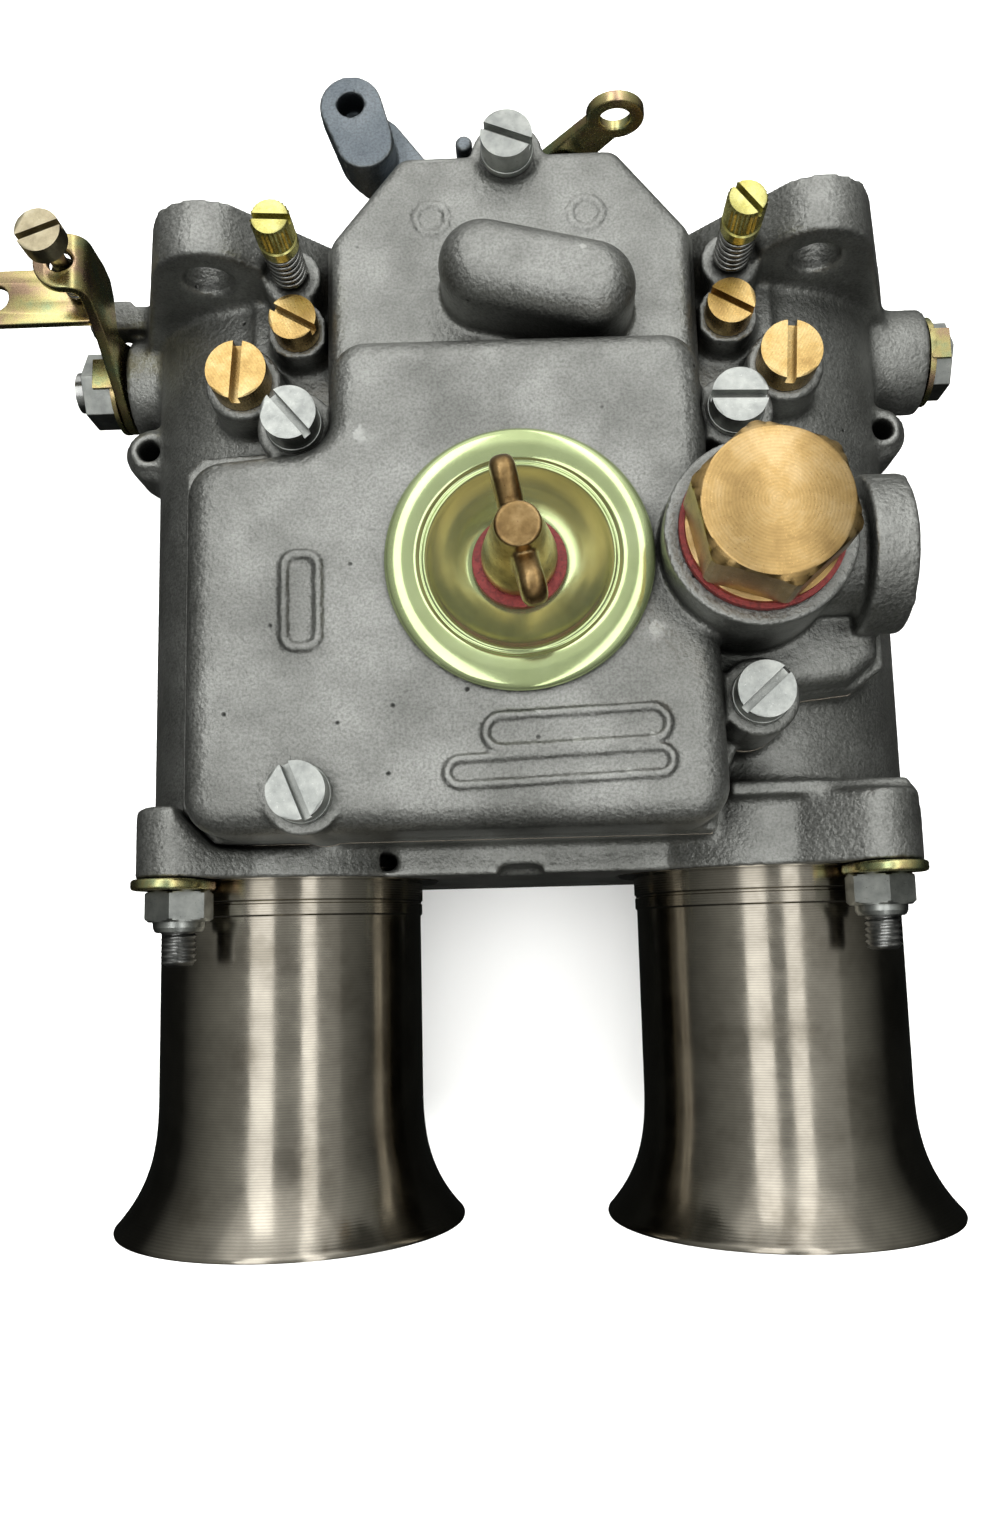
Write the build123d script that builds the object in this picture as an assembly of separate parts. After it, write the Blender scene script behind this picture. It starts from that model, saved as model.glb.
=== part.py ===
from build123d import *

import math
import os

# Twin-barrel sidedraft carburettor, in millimetres.
# The origin is the middle of the manifold face, halfway between the two barrels.
# +Y points out of the manifold face, +Z out of the top cover, +X along the throttle shaft.
# The barrels run along Y, with the ram pipes at the -Y end.

# Driving dimensions
BARREL_X = 45.0  # distance of each barrel's axis from the middle
BODY_FRONT_Y = -115.0
THROTTLE_BORE_R = 22.5
INTAKE_BORE_R = 23.8
INTAKE_BORE_END_Y = -46.0  # the wide intake bore stops here
BARREL_R = 25.8
FLANGE_R = 28.5
FLANGE_THICK = 10.0
UPPER_STUD = (53.5, 33.5)  # x and z of an upper manifold stud
LOWER_STUD = (36.5, -33.5)
STUD_HOLE_R = 4.3
HORN_STUDS = ((58.5, 29.0), (31.5, -29.0))  # x and z of the ram pipe studs on the right
HORN_STUD_R = 3.0
HORN_FLANGE_R, HORN_FLANGE_THICK = 27.6, 2.0
CLIP_THICK = 1.8
STUD_END_Y = BODY_FRONT_Y - 14.4
LIP_THICK = 12.0
SHAFT_Y = -13.5
SHAFT_R = 4.0
BOSS_R = 10.1
LEFT_BOSS_X = -76.4
RIGHT_BOSS_X = 80.7
DECK_Z = 27.0  # machined top face of the body
GASKET_THICK = 0.8
COVER_Z = DECK_Z + GASKET_THICK
COVER_FLANGE_TOP_Z = 33.0
LOW_TOP_Z = 36.0  # rear step of the cover
HIGH_TOP_Z = 49.0  # front step of the cover
CEILING_Z = 44.0  # inside top of the cover
BASE_Z = -44.0  # machined face under the float bowl
CAP_X, CAP_Y = 0.4, -67.5
PLUG_X, PLUG_Y = 36.9, -66.4
PLUG_SEAT_Z = 56.5
INLET_X, INLET_Z = 61.2, 42.0  # outer face and axis of the fuel inlet
HORN_END_Y = -176.7
HORN_R = 24.3
HORN_WALL = 1.3
HORN_BELL_R = 31.8
GAP = 0.1  # radial room round a fastener
RUN_GAP = 0.05  # radial room round a turning or sliding piece
PLATE_R = 22.3
SIDES = (-1, 1)
COVER_SCREW_DEPTH = 3.4  # thread in the deck, which is thin over the barrels
COVER_SCREWS = (  # x, y, seat height and slot direction in degrees
    (-36.0, -42.0, 44.0, -50),
    (36.1, -41.7, 44.0, -2),
    (37.7, -89.3, 44.0, 42),
    (-33.8, -103.6, HIGH_TOP_Z + 0.2, -68),
    (0.0, 11.2, 35.4, -22),
)
MIXTURE_X, MIXTURE_Y, MIXTURE_SEAT_Z = 38.6, -9.6, 34.0
PROGRESSION_X, PROGRESSION_Y, PROGRESSION_SEAT_Z = 37.7, -19.3, 33.0
PUMP_JET_X, PUMP_JET_Y, PUMP_JET_SEAT_Z = 46.9, -29.6, 35.0
VENTURI_SCREW_Y = (-70.0, -98.5)
SIDE_LUGS = {-1: (-70.8, -31.3), 1: (69.6, -32.1)}  # x and y of the tapped lugs
BOWL_X, BOWL_Y, BOWL_FLOOR_Z = 0.0, -67.0, -34.0
BASE_SCREW = 17.6  # distance of the base plate's screws from its middle, in x and y
BEARING_R = 8.0
PUMP_PISTON_R = 5.0
STARTER_VALVE_R = 4.0
LUG_THREAD_R = 2.1
WING_SHANK_R = 2.9
MAIN_WELLS = ((-6.4, -62.0), (6.8, -62.0))
IDLE_WELLS = ((-6.4, -74.0), (6.8, -74.0))
PILLAR_TOP_Z = 14.0
FLOAT_PIN_Y, FLOAT_PIN_Z = -46.0, 31.0
NEEDLE_Y = -40.0
PUMP_Y = -25.0
STARTER_BORE_X, STARTER_BORE_Y = 7.2, 3.0
STARTER_X, STARTER_Z = 2.0, 2.0  # starter lever's pivot
STARTER_FACE_Y = 12.6
EYE_X, EYE_Z = 20.3, 25.0
STARTER_SCREWS = ((-10.5, 5.0), (10.8, 12.5), (0.0, -24.0))
IDLE_SCREW_X, IDLE_SCREW_Y, IDLE_SCREW_R = -81.6, -2.8, 1.5
POST_X, POST_Y, POST_TOP_Z = -29.2, 29.6, 25.6
POST_THREAD = 5.6  # depth of the blind tapped hole


# Plain solids along the axes
def block(x0, x1, y0, y1, z0, z1):
    centre = Pos((x0 + x1) / 2, (y0 + y1) / 2, (z0 + z1) / 2)
    return centre * Box(abs(x1 - x0), abs(y1 - y0), abs(z1 - z0))


def rod_x(radius, x0, x1, y, z):
    return Pos((x0 + x1) / 2, y, z) * Rot(0, 90, 0) * Cylinder(radius, abs(x1 - x0))


def rod_y(radius, x, y0, y1, z):
    return Pos(x, (y0 + y1) / 2, z) * Rot(90, 0, 0) * Cylinder(radius, abs(y1 - y0))


def rod_z(radius, x, y, z0, z1):
    return Pos(x, y, (z0 + z1) / 2) * Cylinder(radius, abs(z1 - z0))


def hexagon(across_flats):
    return RegularPolygon(across_flats / math.sqrt(3), 6)


def polygon(*points):
    """A straight-sided outline whose face looks up, whichever way round its points run."""
    following = points[1:] + points[:1]
    twice_area = sum(x0 * y1 - x1 * y0 for (x0, y0), (x1, y1) in zip(points, following))
    return Polygon(*(points if twice_area > 0 else points[::-1]), align=None)


def prism(outline, height):
    return extrude(outline, height, dir=(0, 0, 1))


def hex_x(across_flats, x0, x1, y, z):
    return Pos(x0, y, z) * Rot(0, 90, 0) * prism(hexagon(across_flats), x1 - x0)


def hex_y(across_flats, x, y0, y1, z):
    return Pos(x, y1, z) * Rot(90, 0, 0) * prism(hexagon(across_flats), y1 - y0)


def hex_z(across_flats, x, y, z0, z1, turn=0):
    return Pos(x, y, z0) * Rot(0, 0, turn) * prism(hexagon(across_flats), z1 - z0)


def bridge(x0, y0, r0, x1, y1, r1):
    """Two circles and the strip between their outer tangents."""
    span = math.hypot(x1 - x0, y1 - y0)
    along = math.atan2(y1 - y0, x1 - x0)
    lean = math.acos((r0 - r1) / span)
    corners = []
    for x, y, r, side in ((x0, y0, r0, -1), (x1, y1, r1, -1), (x1, y1, r1, 1), (x0, y0, r0, 1)):
        angle = along + side * lean
        corners.append((x + r * math.cos(angle), y + r * math.sin(angle)))
    return Pos(x0, y0) * Circle(r0) + Pos(x1, y1) * Circle(r1) + polygon(*corners)


def plate_z(outline, z0, z1):
    return Pos(0, 0, z0) * prism(outline, z1 - z0)


def plate_y(outline, y0, y1):
    """Extrudes an outline drawn in X and Z along Y."""
    return Pos(0, y1, 0) * Rot(90, 0, 0) * prism(outline, y1 - y0)


def plate_x(outline, x0, x1):
    """Extrudes an outline drawn in Y and Z along X."""
    return Pos(x0, 0, 0) * Rot(0, 90, 0) * Rot(0, 0, 90) * prism(outline, x1 - x0)


def turned_z(x, y, profile):
    """Turns a closed profile of (radius, height) points round a vertical axis."""
    face = Plane.XZ * polygon(*profile)
    return Pos(x, y, 0) * revolve(face, Axis.Z)


def turned_y(x, profile):
    """Turns a closed profile of (radius, y) points round a barrel's axis."""
    face = Plane.XY * polygon(*profile)
    return Pos(x, 0, 0) * revolve(face, Axis.Y)


def ring_z(outer, inner, x, y, z0, z1):
    return rod_z(outer, x, y, z0, z1) - rod_z(inner, x, y, z0 - 1, z1 + 1)


def coil(radius, wire, x, y, z0, z1, turns):
    """A helical compression spring of round wire, standing along Z."""
    pitch = (z1 - z0 - 2 * wire) / turns
    path = Helix(pitch, pitch * turns, radius)
    section = Plane(path @ 0, z_dir=path % 0) * Circle(wire)
    return Pos(x, y, z0 + wire) * sweep(section, path=path, is_frenet=True)


def slotted_screw(x, y, seat, head_r, head_h, shank_r, length, turn):
    """A cheese-head screw standing on its seat."""
    slot_width = 0.3 * head_r
    slot_depth = 0.4 * head_h
    screw = rod_z(head_r, x, y, seat, seat + head_h) + rod_z(shank_r, x, y, seat - length, seat + head_h / 2)
    slot = Pos(x, y, seat + head_h) * Rot(0, 0, turn) * Box(3 * head_r, slot_width, 2 * slot_depth)
    return screw - slot


def both_sides(make):
    """Builds the left and the right copy of something and keeps them as separate solids."""
    return Compound(children=[solid for side in SIDES for solid in make(side).solids()])


def group(shapes):
    return Compound(children=[solid for shape in shapes for solid in shape.solids()])


# Outlines shared by the cover, its gasket and the deck of the body
def deck_outline():
    front = polygon(
        (-57.2, -104.0), (-57.2, -45.0), (-54.5, -42.2), (-32.4, -41.0), (-32.4, -30.0), (32.4, -30.0),
        (32.4, -46.0), (46.0, -50.0), (60.6, -54.0), (60.6, -83.0), (55.7, -86.5), (42.0, -88.0),
        (35.5, -96.0), (33.2, -101.0), (31.5, -109.5), (-51.7, -109.5),
    )
    rear = polygon(
        (-32.4, -31.0), (-32.4, -4.5), (-30.4, -2.3), (-18.8, 12.6), (18.8, 12.6), (30.4, -2.3),
        (32.4, -4.5), (32.4, -31.0),
    )
    outline = front + rear
    for x, y, _, _ in COVER_SCREWS:
        outline += Pos(x, y) * Circle(6.4)
    return outline


def bowl_outline():
    """The float bowl seen from above: two pockets joined past the jet pillar."""
    return Pos(0, -68.0) * RectangleRounded(31.0, 70.0, 4.0)


# Body casting
def barrel(side):
    shell = rod_y(BARREL_R, side * BARREL_X, BODY_FRONT_Y, 0, 0)
    ears = [(side * BARREL_X, 0, FLANGE_R), (side * UPPER_STUD[0], UPPER_STUD[1], 9.6)]
    ears.append((side * LOWER_STUD[0], LOWER_STUD[1], 9.6))
    shell += plate_y(bridge(*ears[0], *ears[1]) + bridge(*ears[0], *ears[2]), -FLANGE_THICK, 0)
    lip = Pos(side * BARREL_X, 0) * Circle(FLANGE_R + 0.5)
    for x, z in HORN_STUDS:
        lip += bridge(side * BARREL_X, 0, FLANGE_R - 4, side * x, z, 7.2)
    shell += plate_y(lip, BODY_FRONT_Y, BODY_FRONT_Y + LIP_THICK)
    return shell


def barrel_cuts(side):
    x = side * BARREL_X
    cuts = rod_y(THROTTLE_BORE_R, x, BODY_FRONT_Y - 1, 1, 0)
    cuts += rod_y(INTAKE_BORE_R, x, BODY_FRONT_Y - 1, INTAKE_BORE_END_Y, 0)
    cuts += rod_y(HORN_FLANGE_R + GAP, x, BODY_FRONT_Y - 1, BODY_FRONT_Y + HORN_FLANGE_THICK, 0)
    for stud_x, stud_z in (UPPER_STUD, LOWER_STUD):
        cuts += rod_y(STUD_HOLE_R, side * stud_x, -FLANGE_THICK - 1, 1, stud_z)
        cuts += rod_y(8.6, side * stud_x, -26, -FLANGE_THICK, stud_z)
    for stud_x, stud_z in HORN_STUDS:
        cuts += rod_y(HORN_STUD_R, side * stud_x, BODY_FRONT_Y - 1, BODY_FRONT_Y + 9, stud_z)
    for y in VENTURI_SCREW_Y:
        cuts += rod_z(2.1, x, y, -34, -23)
    return cuts


def deck_bosses(side):
    """Bosses for the mixture screw, the progression plug and the pump-jet plug."""
    bosses = rod_z(5.2, side * MIXTURE_X, MIXTURE_Y, 10, MIXTURE_SEAT_Z)
    bosses += rod_z(5.4, side * PROGRESSION_X, PROGRESSION_Y, 10, PROGRESSION_SEAT_Z)
    bosses += rod_z(6.7, side * PUMP_JET_X, PUMP_JET_Y, 10, PUMP_JET_SEAT_Z)
    bosses += block(side * 30, side * 47, -34, -5, 12, 27)
    return bosses


def deck_boss_holes(side):
    holes = rod_z(2.0 + GAP, side * MIXTURE_X, MIXTURE_Y, 24.6, MIXTURE_SEAT_Z + 1)
    holes += rod_z(4.4, side * MIXTURE_X, MIXTURE_Y, MIXTURE_SEAT_Z, 50)
    holes += rod_z(3.0 + GAP, side * PROGRESSION_X, PROGRESSION_Y, 25.0, PROGRESSION_SEAT_Z + 1)
    holes += rod_z(3.6 + GAP, side * PUMP_JET_X, PUMP_JET_Y, 25.0, PUMP_JET_SEAT_Z + 1)
    return holes


def side_lug(side):
    """The lug beside each barrel, in front of the shaft boss."""
    x, y = SIDE_LUGS[side]
    root = block(side * 64, x + side * 2, y - 5, y + 5, -2, 10)
    return root + rod_z(5.2, x, y, -2, 10) + rod_z(3.75, x, y, 9, 12)


def between_barrels():
    """The deck, the bowl's block and the rear block that tie the two barrels together."""
    shape = plate_z(deck_outline(), 19, DECK_Z)
    shape += block(-24, 24, -109.5, -4, -38, 20)
    shape += block(-32, 32, BODY_FRONT_Y, -104, -38, 20.5)
    shape += plate_z(Pos(BOWL_X, BOWL_Y) * RectangleRounded(52, 52, 12), BASE_Z, -20)
    rear = polygon((-24, -6), (24, -6), (18.8, STARTER_FACE_Y), (-18.8, STARTER_FACE_Y))
    shape += plate_z(rear, -30, DECK_Z)
    return shape + block(34, 64, -103.5, -101, 25, 31.5)


def shaft_bosses():
    """The bosses for the throttle shaft's bearings, and the stop for the idle-speed screw."""
    shape = rod_x(BOSS_R, LEFT_BOSS_X, -60, SHAFT_Y, 0) + rod_x(BOSS_R, 60, RIGHT_BOSS_X, SHAFT_Y, 0)
    return shape + block(-84.2, -66, -4.6, 1.6, 3, 9) + block(-72, -60, -10, 1.6, -6, 9)


def shaft_holes():
    shape = rod_x(SHAFT_R + RUN_GAP, LEFT_BOSS_X - 1, RIGHT_BOSS_X + 1, SHAFT_Y, 0)
    shape += rod_x(BEARING_R, LEFT_BOSS_X - 1, LEFT_BOSS_X + 6, SHAFT_Y, 0)
    return shape + rod_x(BEARING_R, RIGHT_BOSS_X - 6, RIGHT_BOSS_X + 1, SHAFT_Y, 0)


def manifold_room(side):
    """Keeps the space in front of one manifold face clear."""
    room = rod_y(FLANGE_R + 3, side * BARREL_X, 0, 20, 0)
    for stud_x, stud_z in (UPPER_STUD, LOWER_STUD):
        room += rod_y(12.0, side * stud_x, 0, 20, stud_z)
    return room


def jet_pillar():
    """The pillar in the float bowl that the jets stand in."""
    pillar = block(-15.6, 15.6, -80, -56, BOWL_FLOOR_Z - 0.5, PILLAR_TOP_Z)
    for x, y in MAIN_WELLS:
        pillar -= rod_z(4.0 + GAP, x, y, -30, PILLAR_TOP_Z + 1)
    for x, y in IDLE_WELLS:
        pillar -= rod_z(3.0 + GAP, x, y, -12, PILLAR_TOP_Z + 1)
    return pillar - rod_z(WING_SHANK_R + GAP, CAP_X, CAP_Y, 0, PILLAR_TOP_Z + 1)


def pump_and_starter_bores():
    bores = block(-12, 12, -31, -4, -16, DECK_Z + 1)
    bores += rod_z(PUMP_PISTON_R + RUN_GAP, 0, PUMP_Y, -36, -15)
    for side in SIDES:
        bores += rod_z(STARTER_VALVE_R + RUN_GAP, side * STARTER_BORE_X, STARTER_BORE_Y, -26, 16)
    return bores


def pump_spring_ledge():
    """The shelf that the pump's spring pushes against."""
    ledge = block(-4, 12.2, PUMP_Y - 6.2, PUMP_Y + 5, -3.9, -2.9)
    return ledge - rod_z(1.5 + GAP, 0, PUMP_Y, -5, -2)


def body_screw_holes():
    holes = []
    for x, z in STARTER_SCREWS:
        holes.append(rod_y(2.0, x, STARTER_FACE_Y - 5.2, STARTER_FACE_Y + 1, z))
    for x, y, _, _ in COVER_SCREWS:
        holes.append(rod_z(2.5, x, y, DECK_Z - COVER_SCREW_DEPTH - 0.2, DECK_Z + 1))
    for x, y in bottom_screw_places():
        holes.append(rod_z(2.0, x, y, BASE_Z - 1, BASE_Z + 8))
    for side in SIDES:
        holes.append(rod_z(LUG_THREAD_R, *SIDE_LUGS[side], 2, 13))
    return group(holes)


def front_ledge_cuts():
    """The air passage and the casting notch in the ledge between the pipes."""
    passage = plate_z(bridge(-33.0, -112.4, 1.5, -24.0, -112.4, 1.5), 12, 21)
    return passage + block(-5.0, 3.0, BODY_FRONT_Y - 1, BODY_FRONT_Y + 1.6, 14, 21)


def body():
    shape = barrel(-1) + barrel(1) + between_barrels() + shaft_bosses()
    for side in SIDES:
        shape += deck_bosses(side) + side_lug(side)
        for y in VENTURI_SCREW_Y:
            shape += rod_z(4.6, side * BARREL_X, y, -30, -24)
    shape -= plate_z(offset(deck_outline(), 0.25), DECK_Z, 60)
    for side in SIDES:
        shape -= manifold_room(side)
        shape -= barrel_cuts(side)
        shape -= deck_boss_holes(side)
    shape -= front_ledge_cuts()
    shape -= plate_z(bowl_outline(), BOWL_FLOOR_Z, DECK_Z + 1)
    shape -= rod_z(15.0, BOWL_X, BOWL_Y, BASE_Z - 1, BOWL_FLOOR_Z + 1)
    shape += jet_pillar()
    shape -= pump_and_starter_bores()
    shape -= shaft_holes()
    shape += pump_spring_ledge()
    return shape - body_screw_holes()


def bottom_screw_places():
    return [(BOWL_X + BASE_SCREW * i, BOWL_Y + BASE_SCREW * j) for i in SIDES for j in SIDES]


# Top cover
def rounded_slab(outline, z0, z1, edge_r):
    """A slab whose top edge is rounded over."""
    slab = plate_z(outline, z0, z1)
    return fillet(slab.faces().sort_by(Axis.Z)[-1].edges(), edge_r)


def front_slab():
    """The high front part of the cover."""
    outline = polygon(
        (-53.2, -109.3), (-53.2, -48.8), (-30.0, -47.0), (-29.8, -28.6), (30.2, -29.2), (31.0, -48.0),
        (32.2, -109.3),
    )
    outline = fillet(outline.vertices(), 6.0)
    return rounded_slab(outline, COVER_FLANGE_TOP_Z - 1, HIGH_TOP_Z, 4.6)


def rear_slab():
    """The low rear part, whose corners are cut off."""
    outline = polygon(
        (-31.6, -34.0), (-31.6, -4.2), (-19.0, 11.6), (19.0, 11.6), (31.6, -4.2), (31.6, -34.0),
    )
    return rounded_slab(fillet(outline.vertices(), 3.0), COVER_FLANGE_TOP_Z - 1, LOW_TOP_Z, 2.4)


def inlet_slab():
    """The low part that carries the fuel inlet, beyond the plug boss."""
    outline = polygon(
        (28.0, -48.0), (46.0, -51.5), (58.6, -56.0), (58.6, -82.0), (54.0, -86.0), (42.0, -87.2),
        (28.0, -96.0),
    )
    return rounded_slab(outline, COVER_FLANGE_TOP_Z - 1, 38.5, 2.8)


def pill_frame(x0, x1, y0, y1, turn=0):
    """A blank raised frame with round ends, where a maker would cast a name."""
    width, height, wall = x1 - x0, y1 - y0, 0.9
    frame = RectangleRounded(width, height, height / 2 - 0.01)
    frame -= RectangleRounded(width - 2 * wall, height - 2 * wall, height / 2 - wall - 0.01)
    placed = Pos((x0 + x1) / 2, (y0 + y1) / 2) * Rot(0, 0, turn) * frame
    return plate_z(placed, HIGH_TOP_Z - 0.5, HIGH_TOP_Z + 0.7)


def top_cover():
    shape = plate_z(deck_outline(), COVER_Z, COVER_FLANGE_TOP_Z) + front_slab() + rear_slab() + inlet_slab()
    shape += rounded_slab(bridge(-4.5, -15.0, 7.4, 13.5, -19.6, 7.4), LOW_TOP_Z - 1, 49.8, 5.4)
    for x, y, seat, _ in COVER_SCREWS:
        shape += rod_z(6.4, x, y, COVER_Z, seat)
    shape += rod_z(21.6, CAP_X, CAP_Y, CEILING_Z, HIGH_TOP_Z + 0.1)
    shape += rod_z(14.7, PLUG_X, PLUG_Y, COVER_Z, PLUG_SEAT_Z)
    shape += rod_x(9.4, PLUG_X, INLET_X, PLUG_Y, INLET_Z)
    shape += rod_x(12.75, INLET_X - 7, INLET_X, PLUG_Y, INLET_Z)
    shape += pill_frame(-6, 23, -97.4, -91.4, 2) + pill_frame(-12, 23.5, -105 + 2.2, -99 + 1.2, 2)
    badge = RectangleRounded(16, 6.4, 2.4) - RectangleRounded(14, 4.4, 1.6)
    shape += plate_z(Pos(-34.0, -73.0) * Rot(0, 0, 90) * badge, HIGH_TOP_Z - 0.5, HIGH_TOP_Z + 0.7)
    for x in (-13.5, 13.5):
        shape += ring_z(3.2, 2.4, x, -1.0, LOW_TOP_Z - 0.5, LOW_TOP_Z + 0.4)
    # hollows over the bowl, the pump and the left barrel
    roof = block(-15, 15, -102, -33, COVER_Z - 1, CEILING_Z)
    roof += block(-46, -19, -99, -54, COVER_Z - 1, CEILING_Z - 3)
    roof += block(-12, 12, -30, -5, COVER_Z - 1, 33)
    shape -= roof
    shape -= rod_z(17.0, CAP_X, CAP_Y, CEILING_Z - 2, HIGH_TOP_Z + 2)
    shape -= rod_z(9.0, PLUG_X, PLUG_Y, 34, PLUG_SEAT_Z + 1)
    shape -= rod_x(3.0, PLUG_X, 50, PLUG_Y, INLET_Z) + rod_x(6.0, 49, INLET_X + 1, PLUG_Y, INLET_Z)
    for x, y, seat, _ in COVER_SCREWS:
        shape -= rod_z(2.5 + GAP, x, y, COVER_Z - 1, seat + 1)
        shape -= rod_z(5.9, x, y, seat, HIGH_TOP_Z + 1)
    # needle seat hole and the ears that carry the float pin
    shape -= rod_z(4.0, 0, NEEDLE_Y, CEILING_Z - 1, 47.5)
    for side in SIDES:
        ear = block(side * 6.2, side * 9.2, FLOAT_PIN_Y - 2.6, FLOAT_PIN_Y + 2.6, 28.4, CEILING_Z + 1)
        shape += ear - rod_x(1.25, side * 5, side * 10, FLOAT_PIN_Y, FLOAT_PIN_Z)
    return shape


def cover_gasket():
    sheet = plate_z(deck_outline(), DECK_Z, COVER_Z)
    sheet -= plate_z(bowl_outline(), DECK_Z - 1, COVER_Z + 1)
    sheet -= block(-46, -19, -99, -54, DECK_Z - 1, COVER_Z + 1)
    sheet -= block(-12, 12, -30, -5, DECK_Z - 1, COVER_Z + 1)
    for x, y, _, _ in COVER_SCREWS:
        sheet -= rod_z(2.5 + GAP, x, y, DECK_Z - 1, COVER_Z + 1)
    return sheet


def cover_screws():
    return group(
        slotted_screw(x, y, seat + 1.3, 4.5, 4.4, 2.5, seat + 1.3 - DECK_Z + COVER_SCREW_DEPTH, turn)
        for x, y, seat, turn in COVER_SCREWS
    )


def cover_screw_washers():
    return group(ring_z(4.7, 2.5 + GAP, x, y, seat, seat + 1.3) for x, y, seat, _ in COVER_SCREWS)


def inspection_cap():
    return turned_z(CAP_X, CAP_Y, (
        (3.1, 45.6), (3.1, 47.0), (13.0, 47.0), (15.6, 51.0), (19.6, 51.4), (21.2, 50.4), (21.2, 49.9),
        (16.9, 49.9), (14.3, 45.6),
    ))


def inspection_cap_seal():
    return ring_z(20.6, 17.4, CAP_X, CAP_Y, HIGH_TOP_Z + 0.1, 49.9)


def wing_screw():
    profile = (
        (0, 6.0), (WING_SHANK_R, 6.0), (WING_SHANK_R, 48.6), (6.0, 48.6), (6.0, 52.0), (5.0, 58.0),
        (3.6, 66.0), (0, 66.0),
    )
    shape = turned_z(CAP_X, CAP_Y, profile)
    ear = bridge(0, 57.0, 3.0, 8.6, 63.4, 3.4)
    for turn in (0, 180):
        wing = Rot(0, 0, turn) * plate_y(ear, -1.3, 1.3)
        shape += Pos(CAP_X, CAP_Y, 0) * Rot(0, 0, 90 + 12.5) * wing
    return shape


def wing_screw_washer():
    return ring_z(7.5, 3.1, CAP_X, CAP_Y, 47.0, 48.5)


def filter_plug():
    seat = PLUG_SEAT_Z + 1.4
    head = hex_z(22, PLUG_X, PLUG_Y, seat + 1.2, seat + 11.3, 12) & turned_z(PLUG_X, PLUG_Y, (
        (0, seat), (12.8, seat), (12.8, seat + 9.8), (10.7, seat + 11.3), (0, seat + 11.3),
    ))
    shape = head + rod_z(11.8, PLUG_X, PLUG_Y, seat, seat + 1.6)
    return shape + rod_z(9.0, PLUG_X, PLUG_Y, PLUG_SEAT_Z - 5, seat + 1)


def filter_plug_gasket():
    return ring_z(12.6, 9.05, PLUG_X, PLUG_Y, PLUG_SEAT_Z, PLUG_SEAT_Z + 1.4)


def fuel_filter():
    shape = ring_z(7.4, 6.2, PLUG_X, PLUG_Y, 34.2, PLUG_SEAT_Z - 5.2)
    shape += rod_z(7.4, PLUG_X, PLUG_Y, PLUG_SEAT_Z - 6.4, PLUG_SEAT_Z - 5.2)
    return shape


# Float and needle valve
def needle_valve_seat():
    shape = hex_z(10, 0, NEEDLE_Y, 37.0, CEILING_Z) + rod_z(4.0, 0, NEEDLE_Y, 38, 47.3)
    return shape - rod_z(2.0 + RUN_GAP, 0, NEEDLE_Y, 36, 44.5) - rod_z(0.9, 0, NEEDLE_Y, 44, 48)


def needle():
    return rod_z(2.0, 0, NEEDLE_Y, 33.4, 42.0) + turned_z(0, NEEDLE_Y, (
        (0, 41.5), (2.0, 42.0), (0.3, 44.2), (0, 44.2),
    ))


def float_assembly():
    drum_y, drum_z, drum_r = FLOAT_PIN_Y + 5.5, 6.0, 6.8
    shape = rod_x(drum_r, -13.2, 13.2, drum_y, drum_z)
    for side in SIDES:
        arm = bridge(FLOAT_PIN_Y, FLOAT_PIN_Z, 2.4, drum_y - 1.5, drum_z + 4, 2.4)
        shape += plate_x(arm, side * 3.4 - 0.9, side * 3.4 + 0.9)
    shape += block(-4.3, 4.3, FLOAT_PIN_Y + 1.2, NEEDLE_Y + 2.4, 31.4, 33.0)
    return shape - rod_x(1.25 + RUN_GAP, -6, 6, FLOAT_PIN_Y, FLOAT_PIN_Z)


def float_pin():
    return rod_x(1.25, -9.6, 9.6, FLOAT_PIN_Y, FLOAT_PIN_Z)


# Jets under the inspection cap
def main_jet_stack(x, y):
    """A main jet, an emulsion tube and an air corrector on one carrier."""
    shape = rod_z(2.6, x, y, -28, -20) + rod_z(2.2, x, y, -21, 8) + rod_z(4.0, x, y, 7, 16)
    shape += rod_z(4.8, x, y, PILLAR_TOP_Z + 0.1, 20)
    return shape - block(x - 6, x + 6, y - 0.6, y + 0.6, 18.6, 21) - rod_z(1.0, x, y, 15, 21)


def idle_jet(x, y):
    shape = rod_z(1.8, x, y, -10, 6) + rod_z(3.0, x, y, 5, 15) + rod_z(3.7, x, y, PILLAR_TOP_Z + 0.1, 19)
    return shape - block(x - 6, x + 6, y - 0.5, y + 0.5, 17.8, 20)


# Intake side
def ram_pipe(side):
    flange_y = BODY_FRONT_Y - GAP
    base_y = flange_y + HORN_FLANGE_THICK
    inner = HORN_R - HORN_WALL
    outline = Polyline(
        (inner, base_y), (HORN_FLANGE_R, base_y), (HORN_FLANGE_R, flange_y), (HORN_R, flange_y),
        (HORN_R + 0.2, -150.0),
    )
    outline += ThreePointArc((HORN_R + 0.2, -150.0), (26.4, -168.0), (HORN_BELL_R, HORN_END_Y + 0.6))
    outline += Line((HORN_BELL_R, HORN_END_Y + 0.6), (HORN_BELL_R - 0.9, HORN_END_Y))
    outline += ThreePointArc((HORN_BELL_R - 0.9, HORN_END_Y), (25.1, -167.6), (inner + 0.2, -150.0))
    outline += Line((inner + 0.2, -150.0), (inner, base_y))
    face = make_face(outline.edges())
    return Pos(side * BARREL_X, 0, 0) * revolve(face, Axis.Y)


def clip_direction(side, x, z):
    """The unit vector from a stud towards its barrel's axis."""
    dx, dz = BARREL_X - x, -z
    size = math.hypot(dx, dz)
    return side * dx / size, dz / size


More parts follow.
